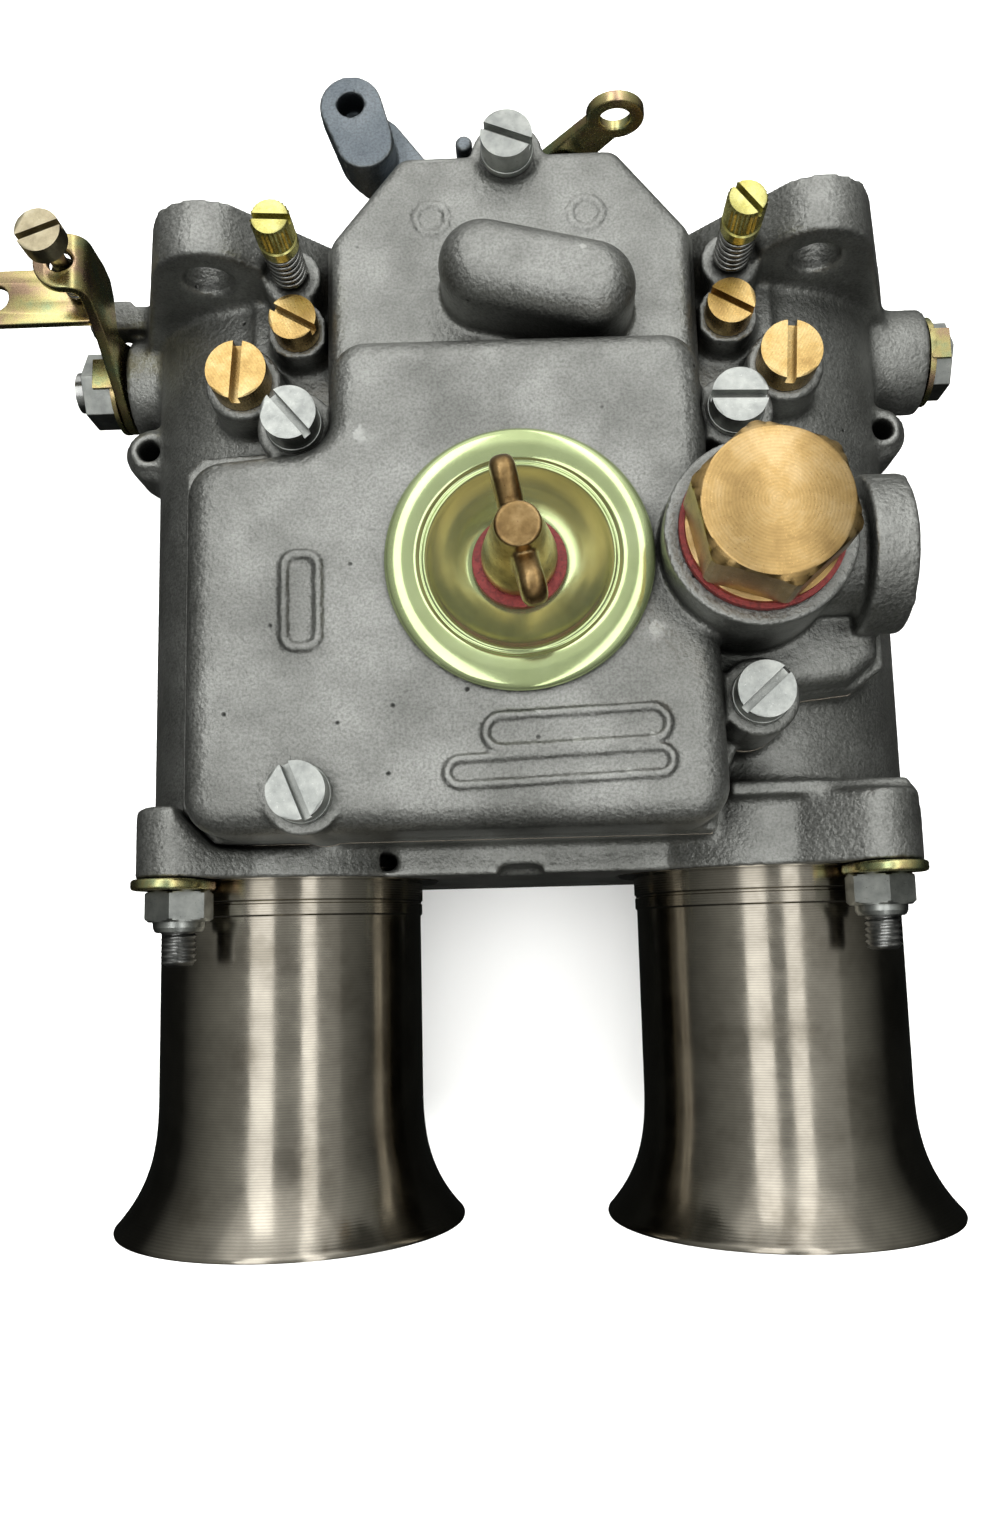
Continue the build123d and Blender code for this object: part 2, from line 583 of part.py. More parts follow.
def ram_pipe_clips():
    clips = []
    for side in SIDES:
        for x, z in HORN_STUDS:
            ux, uz = clip_direction(side, x, z)
            start = (side * x - 2.6 * ux, z - 2.6 * uz, 6.2)
            end = (side * x + 2.2 * ux, z + 2.2 * uz, 4.6)
            y1 = BODY_FRONT_Y - GAP
            clip = plate_y(bridge(*start, *end), y1 - CLIP_THICK, y1)
            clips.append(clip - rod_y(HORN_STUD_R + GAP, side * x, y1 - 9, y1 + 9, z))
    return group(clips)


def ram_pipe_studs():
    return group(
        rod_y(HORN_STUD_R, side * x, STUD_END_Y, BODY_FRONT_Y + 8.5, z)
        for side in SIDES for x, z in HORN_STUDS
    )


def ram_pipe_nuts():
    nuts = []
    for side in SIDES:
        for x, z in HORN_STUDS:
            seat = BODY_FRONT_Y - GAP - CLIP_THICK
            nut = hex_y(10, side * x, seat - 5.2, seat, z) + rod_y(4.3, side * x, seat - 7.0, seat, z)
            nuts.append(nut - rod_y(HORN_STUD_R + RUN_GAP, side * x, seat - 9, seat + 1, z))
    return group(nuts)


def main_venturi(side):
    outer = INTAKE_BORE_R - GAP
    return turned_y(side * BARREL_X, (
        (outer, -50.0), (22.2, -50.0), (18.6, -66.0), (18.0, -76.0), (22.4, -92.0), (outer, -92.0),
    ))


def aux_venturi(side):
    outer, x = INTAKE_BORE_R - GAP, side * BARREL_X
    shape = turned_y(x, ((outer, -94.0), (22.6, -94.0), (22.6, -112.8), (outer, -112.8)))
    shape += turned_y(x, (
        (5.2, -80.0), (6.4, -80.0), (8.0, -98.0), (8.0, -108.0), (7.2, -112.0), (5.2, -100.0),
    ))
    return shape + block(x - 1.7, x + 1.7, -111.0, -99.0, 6.6, 23.2)


def venturi_screws():
    return group(
        slotted_screw_below(side * BARREL_X, y) for side in SIDES for y in VENTURI_SCREW_Y
    )


def slotted_screw_below(x, y):
    screw = rod_z(2.0, x, y, -31, -24.0) + rod_z(3.6, x, y, -32.7, -30.1)
    return screw - block(x - 5, x + 5, y - 0.5, y + 0.5, -33, -31.6)


# Throttle shaft and what turns with it
def throttle_shaft():
    shape = rod_x(SHAFT_R, -88.6, 86.6, SHAFT_Y, 0)
    for side in SIDES:
        x = side * BARREL_X
        shape -= block(x - 22.6, x + 22.6, SHAFT_Y - 0.8, SHAFT_Y + 0.8, -5, 5)
        for dx in (-9, 9):
            shape -= rod_y(1.6, x + dx, SHAFT_Y - 6, SHAFT_Y + 6, 0)
    return shape


def throttle_plate(side):
    plate = rod_y(PLATE_R, side * BARREL_X, SHAFT_Y - 0.75, SHAFT_Y + 0.75, 0)
    for dx in (-9, 9):
        plate -= rod_y(1.6, side * BARREL_X + dx, SHAFT_Y - 3, SHAFT_Y + 3, 0)
    return plate


def throttle_plate_screws():
    screws = []
    for side in SIDES:
        for dx in (-9, 9):
            x = side * BARREL_X + dx
            screw = rod_y(1.55, x, SHAFT_Y - 5.2, SHAFT_Y + 3.6, 0)
            screw += rod_y(2.7, x, SHAFT_Y - 6.2, SHAFT_Y - 4.1, 0)
            screws.append(screw - block(x - 3, x + 3, SHAFT_Y - 7, SHAFT_Y - 5.4, -0.4, 0.4))
    return group(screws)


def shaft_bearings():
    left = rod_x(BEARING_R, LEFT_BOSS_X + 0.3, LEFT_BOSS_X + 6, SHAFT_Y, 0)
    right = rod_x(BEARING_R, RIGHT_BOSS_X - 6, RIGHT_BOSS_X - 0.3, SHAFT_Y, 0)
    bore = rod_x(SHAFT_R + RUN_GAP, -90, 90, SHAFT_Y, 0)
    return group((left - bore, right - bore))


def shaft_nuts():
    thread = rod_x(SHAFT_R + RUN_GAP / 5, -90, 90, SHAFT_Y, 0)
    left = hex_x(13, -86.2, -80.2, SHAFT_Y, 0) - thread
    right = hex_x(13, 82.4, 86.0, SHAFT_Y, 0) - thread
    return group((left, right))


def shaft_lock_tabs():
    """Lock washers whose tabs are bent over a flat of each nut."""
    thread = rod_x(SHAFT_R + RUN_GAP / 5, -90, 90, SHAFT_Y, 0)
    left = rod_x(8.6, -80.1, -79.2, SHAFT_Y, 0) + block(-83.4, -79.3, SHAFT_Y - 3, SHAFT_Y + 3, 7.6, 8.4)
    right = rod_x(8.6, 81.2, 82.3, SHAFT_Y, 0) + block(81.4, 85.0, SHAFT_Y - 3, SHAFT_Y + 3, 7.6, 8.4)
    return group((left - thread, right - thread))


def throttle_lever():
    """A pressed plate with a bent ear for the idle screw and a lower tab for the linkage."""
    outline = Pos(SHAFT_Y, 0) * Circle(8.5)
    outline += polygon((-19.5, 2), (-8.0, 3), (-6.5, 12), (1.8, 15), (2.4, 31), (-8.2, 31))
    shape = plate_x(outline, -79.1, -77.0)
    shape += block(-86.4, -77.0, -8.2, 2.4, 29, 31)
    tab = polygon((-79.0, -9.0), (-98.0, -9.0), (-98.0, 2.0), (-79.0, 2.0))
    tab += Pos(-98.0, -3.5) * Circle(5.5)
    shape += plate_z(tab, 18.4, 20.2)
    shape -= rod_z(2.6, -98.0, -3.5, 17, 22)
    shape -= rod_z(IDLE_SCREW_R + RUN_GAP, IDLE_SCREW_X, IDLE_SCREW_Y, 17, 32)
    return shape - rod_x(SHAFT_R + RUN_GAP / 5, -90, -70, SHAFT_Y, 0)


def idle_speed_screw():
    return slotted_screw(IDLE_SCREW_X, IDLE_SCREW_Y, 36.4, 4.0, 4.0, IDLE_SCREW_R, 27.0, 20)


def idle_speed_spring():
    return coil(1.98, 0.4, IDLE_SCREW_X, IDLE_SCREW_Y, 20.3, 28.9, 6)


# Accelerator pump
def pump_lever():
    arm = bridge(SHAFT_Y, 0, 6.5, PUMP_Y, 8.0, 2.6)
    shape = plate_x(arm, -7.6, -4.6)
    return shape - rod_x(SHAFT_R + RUN_GAP / 5, -10, 0, SHAFT_Y, 0)


def pump_rod():
    shape = rod_z(1.5, 0, PUMP_Y, -21, 12) + rod_z(PUMP_PISTON_R, 0, PUMP_Y, -24, -18.5)
    return shape + block(-3.8, 3.8, PUMP_Y - 2.2, PUMP_Y + 2.2, 9.6, 12.0)


def pump_spring():
    return coil(2.8, 0.45, 0, PUMP_Y, -18.3, -4.0, 6)


# Screws and plugs on the deck
def mixture_screw(side):
    x, y = side * MIXTURE_X, MIXTURE_Y
    shape = rod_z(2.0, x, y, 26.0, 46) + rod_z(3.35, x, y, 43.5, 52)
    shape += turned_z(x, y, ((0, 24.8), (0.4, 24.8), (2.0, 26.1), (0, 26.1)))
    turn = -4 if side < 0 else -52
    return shape - Pos(x, y, 52) * Rot(0, 0, turn) * Box(9, 1.0, 3.0)


def mixture_springs():
    return both_sides(lambda side: coil(
        2.75, 0.45, side * MIXTURE_X, MIXTURE_Y, MIXTURE_SEAT_Z + 0.1, 43.3, 6))


def progression_plugs():
    return both_sides(lambda side: slotted_screw(
        side * PROGRESSION_X, PROGRESSION_Y, PROGRESSION_SEAT_Z + 0.1, 4.1, 4.8, 3.0, 7.0, -30))


def pump_jet_plugs():
    return both_sides(lambda side: slotted_screw(
        side * PUMP_JET_X, PUMP_JET_Y, PUMP_JET_SEAT_Z + 0.1, 5.2, 5.0, 3.6, 9.0, 86))


# Starter device behind the bowl
def starter_cover():
    y0, y1 = STARTER_FACE_Y + 0.1, STARTER_FACE_Y + 8.4
    face = bridge(0, -24, 5.0, 0, 2, 13.0) + bridge(-10.5, 5.0, 5.0, -4, 9, 5.0)
    face += bridge(10.8, 12.5, 4.6, 4, 10, 5.0)
    shape = plate_y(face, y0, y1)
    shape += rod_y(8.6, STARTER_X, y0 + 4, y1 + 3.2, STARTER_Z)
    shape += plate_y(bridge(-2, 10.0, 5.0, -18.5, 13.6, 5.0), y0 + 5.4, y1)
    shape += plate_z(bridge(-18.5, 18.6, 4.6, -25.4, 26.6, 5.4), 2, 18.6)
    shape += plate_z(bridge(POST_X, POST_Y, 5.9, -26.6, 22.0, 5.4), 2, POST_TOP_Z)
    shape += rod_z(1.6, -7.8, 16.6, 8, 31.5)
    shape -= rod_y(THROTTLE_BORE_R + 1, -BARREL_X, 5, 45, 0)  # clear of the barrel's outlet
    shape -= rod_z(2.5, POST_X, POST_Y, POST_TOP_Z - POST_THREAD, POST_TOP_Z + 1)
    shape -= rod_y(2.0 + RUN_GAP, STARTER_X, y1 - 6, y1 + 6, STARTER_Z)
    for x, z in STARTER_SCREWS:
        shape -= rod_y(2.0 + GAP, x, y0 - 1, y1 + 1, z)
    return shape


def starter_cover_screws():
    screws = []
    y1 = STARTER_FACE_Y + 8.4
    for x, z in STARTER_SCREWS:
        screw = rod_y(2.0, x, STARTER_FACE_Y - 5, y1 + 1, z) + rod_y(3.6, x, y1, y1 + 2.6, z)
        screws.append(screw - block(x - 5, x + 5, y1 + 1.6, y1 + 3, z - 0.5, z + 0.5))
    return group(screws)


def starter_lever():
    """The choke lever, with its spindle and the eye that takes the cable's clamp."""
    y0 = STARTER_FACE_Y + 11.9
    outline = bridge(STARTER_X, STARTER_Z, 7.0, EYE_X, EYE_Z, 4.0) + Pos(EYE_X, EYE_Z) * Circle(5.4)
    shape = plate_y(outline, y0, y0 + 2.2)
    shape -= rod_y(2.9, EYE_X, y0 - 1, y0 + 3, EYE_Z)
    return shape + rod_y(2.0, STARTER_X, STARTER_FACE_Y + 3.2, y0 + 7.5, STARTER_Z)


def starter_lever_nut():
    y0 = STARTER_FACE_Y + 14.2
    return hex_y(8, STARTER_X, y0, y0 + 4, STARTER_Z) - rod_y(2.01, STARTER_X, y0 - 1, y0 + 6, STARTER_Z)


def starter_valve(side):
    x, y = side * STARTER_BORE_X, STARTER_BORE_Y
    return rod_z(STARTER_VALVE_R, x, y, -24, -6) + rod_z(1.6, x, y, -7, 6)


# Underside
def bowl_base():
    plate = plate_z(Pos(BOWL_X, BOWL_Y) * RectangleRounded(47, 47, 10), BASE_Z - 4.0, BASE_Z - 0.9)
    plate += rod_z(12, BOWL_X, BOWL_Y, BASE_Z - 6.0, BASE_Z - 3)
    for x, y in bottom_screw_places():
        plate -= rod_z(2.0 + GAP, x, y, BASE_Z - 9, BASE_Z + 1)
    return plate


def bowl_base_gasket():
    sheet = plate_z(Pos(BOWL_X, BOWL_Y) * RectangleRounded(47, 47, 10), BASE_Z - 0.9, BASE_Z)
    sheet -= rod_z(15, BOWL_X, BOWL_Y, -50, -40)
    for x, y in bottom_screw_places():
        sheet -= rod_z(2.0 + GAP, x, y, BASE_Z - 9, BASE_Z + 1)
    return sheet


def bowl_base_screws():
    seat = BASE_Z - 4.0
    screws = []
    for x, y in bottom_screw_places():
        screw = rod_z(2.0, x, y, seat - 1, BASE_Z + 7) + rod_z(3.8, x, y, seat - 2.8, seat)
        screws.append(screw - block(x - 5, x + 5, y - 0.5, y + 0.5, seat - 4, seat - 1.7))
    return group(screws)


NODES = {
    "body": body,
    "top_cover": top_cover,
    "cover_gasket": cover_gasket,
    "cover_screws": cover_screws,
    "cover_screw_washers": cover_screw_washers,
    "inspection_cap": inspection_cap,
    "inspection_cap_seal": inspection_cap_seal,
    "wing_screw": wing_screw,
    "wing_screw_washer": wing_screw_washer,
    "filter_plug": filter_plug,
    "filter_plug_gasket": filter_plug_gasket,
    "fuel_filter": fuel_filter,
    "needle_valve_seat": needle_valve_seat,
    "needle": needle,
    "float": float_assembly,
    "float_pin": float_pin,
    "main_jet_stacks": lambda: group(main_jet_stack(x, y) for x, y in MAIN_WELLS),
    "idle_jets": lambda: group(idle_jet(x, y) for x, y in IDLE_WELLS),
    "ram_pipe_left": lambda: ram_pipe(-1),
    "ram_pipe_right": lambda: ram_pipe(1),
    "ram_pipe_clips": ram_pipe_clips,
    "ram_pipe_studs": ram_pipe_studs,
    "ram_pipe_nuts": ram_pipe_nuts,
    "main_venturi_left": lambda: main_venturi(-1),
    "main_venturi_right": lambda: main_venturi(1),
    "aux_venturi_left": lambda: aux_venturi(-1),
    "aux_venturi_right": lambda: aux_venturi(1),
    "venturi_screws": venturi_screws,
    "throttle_shaft": throttle_shaft,
    "throttle_plate_left": lambda: throttle_plate(-1),
    "throttle_plate_right": lambda: throttle_plate(1),
    "throttle_plate_screws": throttle_plate_screws,
    "shaft_bearings": shaft_bearings,
    "shaft_nuts": shaft_nuts,
    "shaft_lock_tabs": shaft_lock_tabs,
    "throttle_lever": throttle_lever,
    "idle_speed_screw": idle_speed_screw,
    "idle_speed_spring": idle_speed_spring,
    "pump_lever": pump_lever,
    "pump_rod": pump_rod,
    "pump_spring": pump_spring,
    "mixture_screw_left": lambda: mixture_screw(-1),
    "mixture_screw_right": lambda: mixture_screw(1),
    "mixture_springs": mixture_springs,
    "progression_plugs": progression_plugs,
    "pump_jet_plugs": pump_jet_plugs,
    "starter_cover": starter_cover,
    "starter_cover_screws": starter_cover_screws,
    "starter_lever": starter_lever,
    "starter_lever_nut": starter_lever_nut,
    "starter_valve_left": lambda: starter_valve(-1),
    "starter_valve_right": lambda: starter_valve(1),
    "bowl_base": bowl_base,
    "bowl_base_gasket": bowl_base_gasket,
    "bowl_base_screws": bowl_base_screws,
}

os.makedirs("parts", exist_ok=True)
for name, make in NODES.items():
    export_step(make(), f"parts/{name}.step")
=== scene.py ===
import math

import bmesh
import bpy
from mathutils import Matrix, Vector


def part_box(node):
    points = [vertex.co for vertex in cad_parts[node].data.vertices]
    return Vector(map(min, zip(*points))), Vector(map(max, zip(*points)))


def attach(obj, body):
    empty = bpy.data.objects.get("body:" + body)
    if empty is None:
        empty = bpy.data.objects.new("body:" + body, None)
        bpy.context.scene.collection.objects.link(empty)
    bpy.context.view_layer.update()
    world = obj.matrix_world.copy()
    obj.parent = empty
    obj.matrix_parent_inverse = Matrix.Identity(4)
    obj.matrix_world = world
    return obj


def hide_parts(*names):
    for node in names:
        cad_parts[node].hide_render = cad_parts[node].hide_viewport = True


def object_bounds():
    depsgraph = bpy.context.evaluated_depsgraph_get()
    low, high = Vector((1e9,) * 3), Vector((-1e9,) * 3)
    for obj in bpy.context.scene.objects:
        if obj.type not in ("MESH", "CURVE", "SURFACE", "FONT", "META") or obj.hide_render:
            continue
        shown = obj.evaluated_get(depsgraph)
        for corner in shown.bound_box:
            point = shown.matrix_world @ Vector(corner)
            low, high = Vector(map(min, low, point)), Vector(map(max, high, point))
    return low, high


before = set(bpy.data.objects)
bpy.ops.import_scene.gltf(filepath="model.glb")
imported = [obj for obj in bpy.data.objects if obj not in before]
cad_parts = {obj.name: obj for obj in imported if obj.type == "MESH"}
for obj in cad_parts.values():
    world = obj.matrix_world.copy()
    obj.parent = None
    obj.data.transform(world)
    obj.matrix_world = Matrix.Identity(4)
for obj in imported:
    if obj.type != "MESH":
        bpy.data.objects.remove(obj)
cad_box = [list(corner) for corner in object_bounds()]


# ---- Camera ----
# A hand-held view from above the cover, almost straight down, with the engine side at the top.
def millimetres(*values):
    return Vector(values) / 1000


def camera_axes(yaw, tilt, roll):
    """The camera's right, up and back directions, from a view straight down with +Y up."""
    right = Vector((1, 0, 0))
    down = Vector((0, -math.cos(tilt), -math.sin(tilt)))
    ahead = Vector((0, math.sin(tilt), -math.cos(tilt)))
    turned = right * math.cos(yaw) - ahead * math.sin(yaw)
    ahead = ahead * math.cos(yaw) + right * math.sin(yaw)
    right = turned * math.cos(roll) + down * math.sin(roll)
    down = down * math.cos(roll) - turned * math.sin(roll)
    return right, -down, -ahead


camera = bpy.data.objects.new("camera", bpy.data.cameras.new("camera"))
bpy.context.scene.collection.objects.link(camera)
bpy.context.scene.camera = camera
camera.data.lens = 28.32
camera.data.clip_start = 0.01
axes = camera_axes(math.radians(-1.52), math.radians(8.08), math.radians(1.6))
turned = Matrix(axes).transposed().to_4x4()
camera.matrix_world = Matrix.Translation(millimetres(1.53, -126.3, 231.8)) @ turned


# ---- Floor and light ----
# A plain white table in front of a plain pale backdrop, a studio that is bright overhead and to the engine
# side and dark low down, and three long soft panels that give the polished pipes long reflections.
def linear(hex_colour):
    """An sRGB hex colour as a linear RGBA colour."""
    parts = [int(hex_colour[i:i + 2], 16) / 255 for i in (1, 3, 5)]
    return [c / 12.92 if c <= 0.04045 else ((c + 0.055) / 1.055) ** 2.4 for c in parts] + [1.0]


def new_material(name):
    """A metal or plain surface and its main shader."""
    material = bpy.data.materials.new(name)
    material.use_nodes = True
    return material, material.node_tree.nodes["Principled BSDF"]


def add(material, kind, inputs=None, **settings):
    """Adds a node. Each input is a value, or another node's output to link."""
    node = material.node_tree.nodes.new(kind)
    for name, value in settings.items():
        setattr(node, name, value)
    for name, value in (inputs or {}).items():
        if isinstance(value, bpy.types.NodeSocket):
            material.node_tree.links.new(value, node.inputs[name])
        else:
            node.inputs[name].default_value = value
    return node


def link(material, output, socket):
    material.node_tree.links.new(output, socket)


def mesh_piece(name, mesh):
    piece = bpy.data.objects.new(name, mesh)
    bpy.context.scene.collection.objects.link(piece)
    return piece


def studio_height(material):
    """How far a direction points to the studio's bright parts: overhead and, low down, the engine side."""
    direction = add(material, "ShaderNodeTexCoord").outputs["Generated"]
    parts = add(material, "ShaderNodeSeparateXYZ", {"Vector": direction})
    back = parts.outputs["Y"]
    front = add(material, "ShaderNodeMath", {0: back, 1: -0.3}, operation="MULTIPLY").outputs["Value"]
    ends = add(material, "ShaderNodeMath", {0: back, 1: front}, operation="MAXIMUM").outputs["Value"]
    squared = add(material, "ShaderNodeMath", {0: ends, 1: 2.0}, operation="POWER").outputs["Value"]
    return add(material, "ShaderNodeMath", {
        0: squared, 1: 1.2, 2: parts.outputs["Z"],
    }, operation="MULTIPLY_ADD").outputs["Value"]


def span(material, value, low, high, new_low, new_high):
    """Maps a value from one range to another."""
    return add(material, "ShaderNodeMapRange", {
        "Value": value, "From Min": low, "From Max": high, "To Min": new_low, "To Max": new_high,
    }).outputs["Result"]


def ramp(material, factor, stops):
    """A colour ramp through (position, sRGB hex) stops."""
    node = add(material, "ShaderNodeValToRGB", {"Fac": factor})
    while len(node.color_ramp.elements) < len(stops):
        node.color_ramp.elements.new(0.5)
    for element, (position, colour) in zip(node.color_ramp.elements, stops):
        element.position = position
        element.color = linear(colour)
    return node.outputs["Color"]


FLOOR_Z = cad_box[0][2] - 0.0005
FLOOR_REACH = 3.0
corners = [(x * FLOOR_REACH, y * FLOOR_REACH, FLOOR_Z) for x, y in ((-1, -1), (1, -1), (1, 1), (-1, 1))]
floor_mesh = bpy.data.meshes.new("floor")
floor_mesh.from_pydata(corners, [], [(0, 1, 2, 3)])
floor = mesh_piece("floor", floor_mesh)
# Painted board, matt, so that it only shows the soft shadow under the casting.
floor_paint, shader = new_material("Matt_white_board")
shader.inputs["Base Color"].default_value = linear("#f6f6f4")
shader.inputs["Roughness"].default_value = 0.9
floor.data.materials.append(floor_paint)
floor.visible_glossy = False
# A pale dome stands behind everything. Only the camera sees it, so it lights nothing.
BACKDROP_R = 2.9
backdrop_mesh = bpy.data.meshes.new("backdrop")
dome = bmesh.new()
bmesh.ops.create_uvsphere(dome, u_segments=48, v_segments=24, radius=BACKDROP_R)
dome.to_mesh(backdrop_mesh)
dome.free()
backdrop = mesh_piece("backdrop", backdrop_mesh)
backdrop_paper, shader = new_material("Plain_pale_backdrop")
shader.inputs["Base Color"].default_value = linear("#000000")
shader.inputs["Emission Color"].default_value = linear("#e4e4e2")
shader.inputs["Emission Strength"].default_value = 1.0
backdrop.data.materials.append(backdrop_paper)
backdrop.visible_glossy = False
backdrop.visible_diffuse = False
backdrop.visible_shadow = False


def light_panel(name, place, target, size, power, in_reflections=True):
    """A soft rectangular panel, long in Y, that is turned about Y to face its target. Sizes are in metres."""
    light = bpy.data.lights.new(name, "AREA")
    light.shape = "RECTANGLE"
    light.size, light.size_y = size
    light.energy = power
    panel = bpy.data.objects.new(name, light)
    bpy.context.scene.collection.objects.link(panel)
    panel.location = place
    panel.rotation_euler = (0, math.atan2(place[0] - target[0], place[2] - target[2]), 0)
    panel.visible_glossy = in_reflections
    panel.visible_camera = False


light_panel("table_wash", (0, -0.1, 1.2), (0, -0.1, 0), (1.6, 1.6), 42.0, in_reflections=False)
light_panel("panel_left", (-0.30, 0.25, 0.95), (-0.045, 0.25, 0.02), (0.34, 2.0), 3.8)
light_panel("panel_middle", (0.10, 0.25, 0.32), (0.06, 0.25, 0.02), (0.075, 2.0), 0.8)
light_panel("panel_right", (0.62, 0.25, 0.95), (0.045, 0.25, 0.02), (0.7, 2.0), 0.9)
world = bpy.data.worlds.new("studio")
bpy.context.scene.world = world
world.use_nodes = True
studio_light = ramp(world, span(world, studio_height(world), -1, 1.2, 0, 1), (
    (0.0, "#131413"), (0.41, "#1c1d1c"), (0.48, "#424341"), (0.64, "#6b6c69"), (0.80, "#8b8c89"),
    (0.93, "#a2a3a1"), (1.0, "#f0f0ee"),
))
link(world, studio_light, world.node_tree.nodes["Background"].inputs["Color"])
world.node_tree.nodes["Background"].inputs["Strength"].default_value = 1.15
bpy.context.scene.view_settings.view_transform = "Standard"


# ---- Castings ----
# The body, the top cover and the plate under the bowl are gravity-cast aluminium alloy with rounded
# cast edges, shot-blasted to a satin grain. Their joint faces, bores and screw seats are machined.
def object_space(material):
    return add(material, "ShaderNodeTexCoord").outputs["Object"]


def per_metre(feature_mm):
    """A texture scale that gives features of a size in millimetres."""
    return 1000 / feature_mm


def noise(material, feature_mm, detail=3.0, roughness=0.5):
    return add(material, "ShaderNodeTexNoise", {
        "Vector": object_space(material), "Scale": per_metre(feature_mm),
        "Detail": detail, "Roughness": roughness,
    }).outputs["Fac"]


def bump(material, height, depth_mm, under=None):
    inputs = {"Height": height, "Strength": 1.0, "Distance": depth_mm / 1000}
    if under:
        inputs["Normal"] = under
    return add(material, "ShaderNodeBump", inputs).outputs["Normal"]


def mixed(material, factor, first, second, blend="MIX"):
    """Mixes two colours, each a node's output or an sRGB hex."""
    node = add(material, "ShaderNodeMix", data_type="RGBA", blend_type=blend)
    for socket, value in ((node.inputs[0], factor), (node.inputs[6], first), (node.inputs[7], second)):
        if isinstance(value, bpy.types.NodeSocket):
            link(material, value, socket)
        else:
            socket.default_value = linear(value) if isinstance(value, str) else value
    return node.outputs[2]


def openness(material, reach_mm):
    """1 on open faces, falling to 0 in corners narrower than the reach."""
    return add(material, "ShaderNodeAmbientOcclusion", {"Distance": reach_mm / 1000}, samples=6).outputs["AO"]


def cast_alloy(name, dark, middle, light, corner_shade_colour):
    """Blasted cast aluminium: soft clouds, a fine sparkling grain, worn edges, pin holes and painted shade
    darkening its corners.
    """
    material, shader = new_material(name)
    shade = ramp(material, noise(material, 16.0, 4.0, 0.6), ((0.35, dark), (0.50, middle), (0.65, light)))
    # Blasting grit leaves dents of about 0.2 mm; they are drawn 0.45 mm across so that they show.
    grain = noise(material, 0.45, 2.0, 0.6)
    sparkle = ramp(material, grain, ((0.35, "#8c8c8a"), (0.62, "#ffffff")))
    shade = mixed(material, 0.45, shade, sparkle, "MULTIPLY")
    edge = add(material, "ShaderNodeNewGeometry").outputs["Pointiness"]
    shade = mixed(material, span(material, edge, 0.522, 0.58, 0.0, 0.45), shade, "#cbccc8")
    # Painted shade: corners and crevices narrower than 7 mm are darkened towards the last dark colour given.
    shade = mixed(material, span(material, openness(material, 7.0), 0.25, 0.75, 1.0, 0.0), shade, corner_shade_colour)
    cells = add(material, "ShaderNodeTexVoronoi", {
        "Vector": object_space(material), "Scale": per_metre(8.0),
    }).outputs["Distance"]
    hole = span(material, cells, 0.02, 0.055, 1.0, 0.0)
    link(material, mixed(material, hole, shade, "#3a3b39"), shader.inputs["Base Color"])
    shader.inputs["Metallic"].default_value = 0.95
    link(material, span(material, grain, 0.3, 0.7, 0.34, 0.50), shader.inputs["Roughness"])
    peel = bump(material, noise(material, 0.95, 3.0, 0.55), 0.21)
    sand = bump(material, grain, 0.045, peel)
    link(material, bump(material, hole, -0.15, sand), shader.inputs["Normal"])
    return material


def applied(piece):
    """Bakes a piece's modifiers into its mesh."""
    graph = bpy.context.evaluated_depsgraph_get()
    mesh = bpy.data.meshes.new_from_object(piece.evaluated_get(graph))
    piece.modifiers.clear()
    piece.data = mesh
    return piece


def smooth_faces(piece, crease_degrees=180):
    piece.data.polygons.foreach_set("use_smooth", [True] * len(piece.data.polygons))
    piece.data.set_sharp_from_angle(angle=math.radians(crease_degrees))


def finished(piece, material, body, slot, *nodes):
    """Gives a piece its finish and the body it rides on, in place of its CAD nodes."""
    piece.data.materials.clear()
    piece.data.materials.append(material)
    if nodes:
        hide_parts(*nodes)
    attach(piece, body)
    return piece


def softened_casting(node, voxel_mm, edge_rounds, cast_rounds, keep, machined):
    """Rounds a CAD node's edges like a casting's. Points that machined() picks stay crisp."""
    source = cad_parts[node]
    piece = mesh_piece(node + "_casting", source.data.copy())
    piece.data.materials.clear()
    remesh = piece.modifiers.new("grid", "REMESH")
    remesh.mode = "VOXEL"
    remesh.voxel_size = voxel_mm / 1000
    applied(piece)
    group = piece.vertex_groups.new(name="cast")
    cast = [v.index for v in piece.data.vertices if not machined(v.co * 1000)]
    group.add(cast, 1.0, "REPLACE")
    fair = piece.modifiers.new("edges", "SMOOTH")
    fair.iterations = edge_rounds
    fair.factor = 0.5
    soften = piece.modifiers.new("fillets", "SMOOTH")
    soften.iterations = cast_rounds
    soften.factor = 0.5
    soften.vertex_group = "cast"
    thin = piece.modifiers.new("thin", "DECIMATE")
    thin.ratio = keep
    applied(piece)
    piece.vertex_groups.clear()
    smooth_faces(piece)
    return piece


def near_axis(point, x, y, radius):
    return math.hypot(point.x - x, point.y - y) < radius


BARREL_X = 45.0
# Each seat is x, y, radius and the height it starts at: mixture screw, progression plug, pump-jet plug.
SCREW_SEATS = ((38.6, -9.6, 5.6, 33.2), (37.7, -19.3, 5.8, 32.2), (46.9, -29.6, 7.2, 34.2))


def machined_body(p):
    """The joint faces, bores, bosses and tapped seats of the body, in millimetres."""
    x = abs(p.x)
    from_barrel = math.hypot(x - BARREL_X, p.z)
    flange_face = -0.8 < p.y < 0.5 and from_barrel < 50
    pipe_face = p.y < -114.2
    bore = from_barrel < 24.2
    cover_joint = 26.2 < p.z < 27.4 and x < 62
    shaft_boss = x > 75.6 and math.hypot(p.y + 13.5, p.z) < 11
    if flange_face or pipe_face or bore or cover_joint or shaft_boss:
        return True
    across = Vector((x, p.y))
    return any(near_axis(across, *seat[:3]) and p.z > seat[3] for seat in SCREW_SEATS)


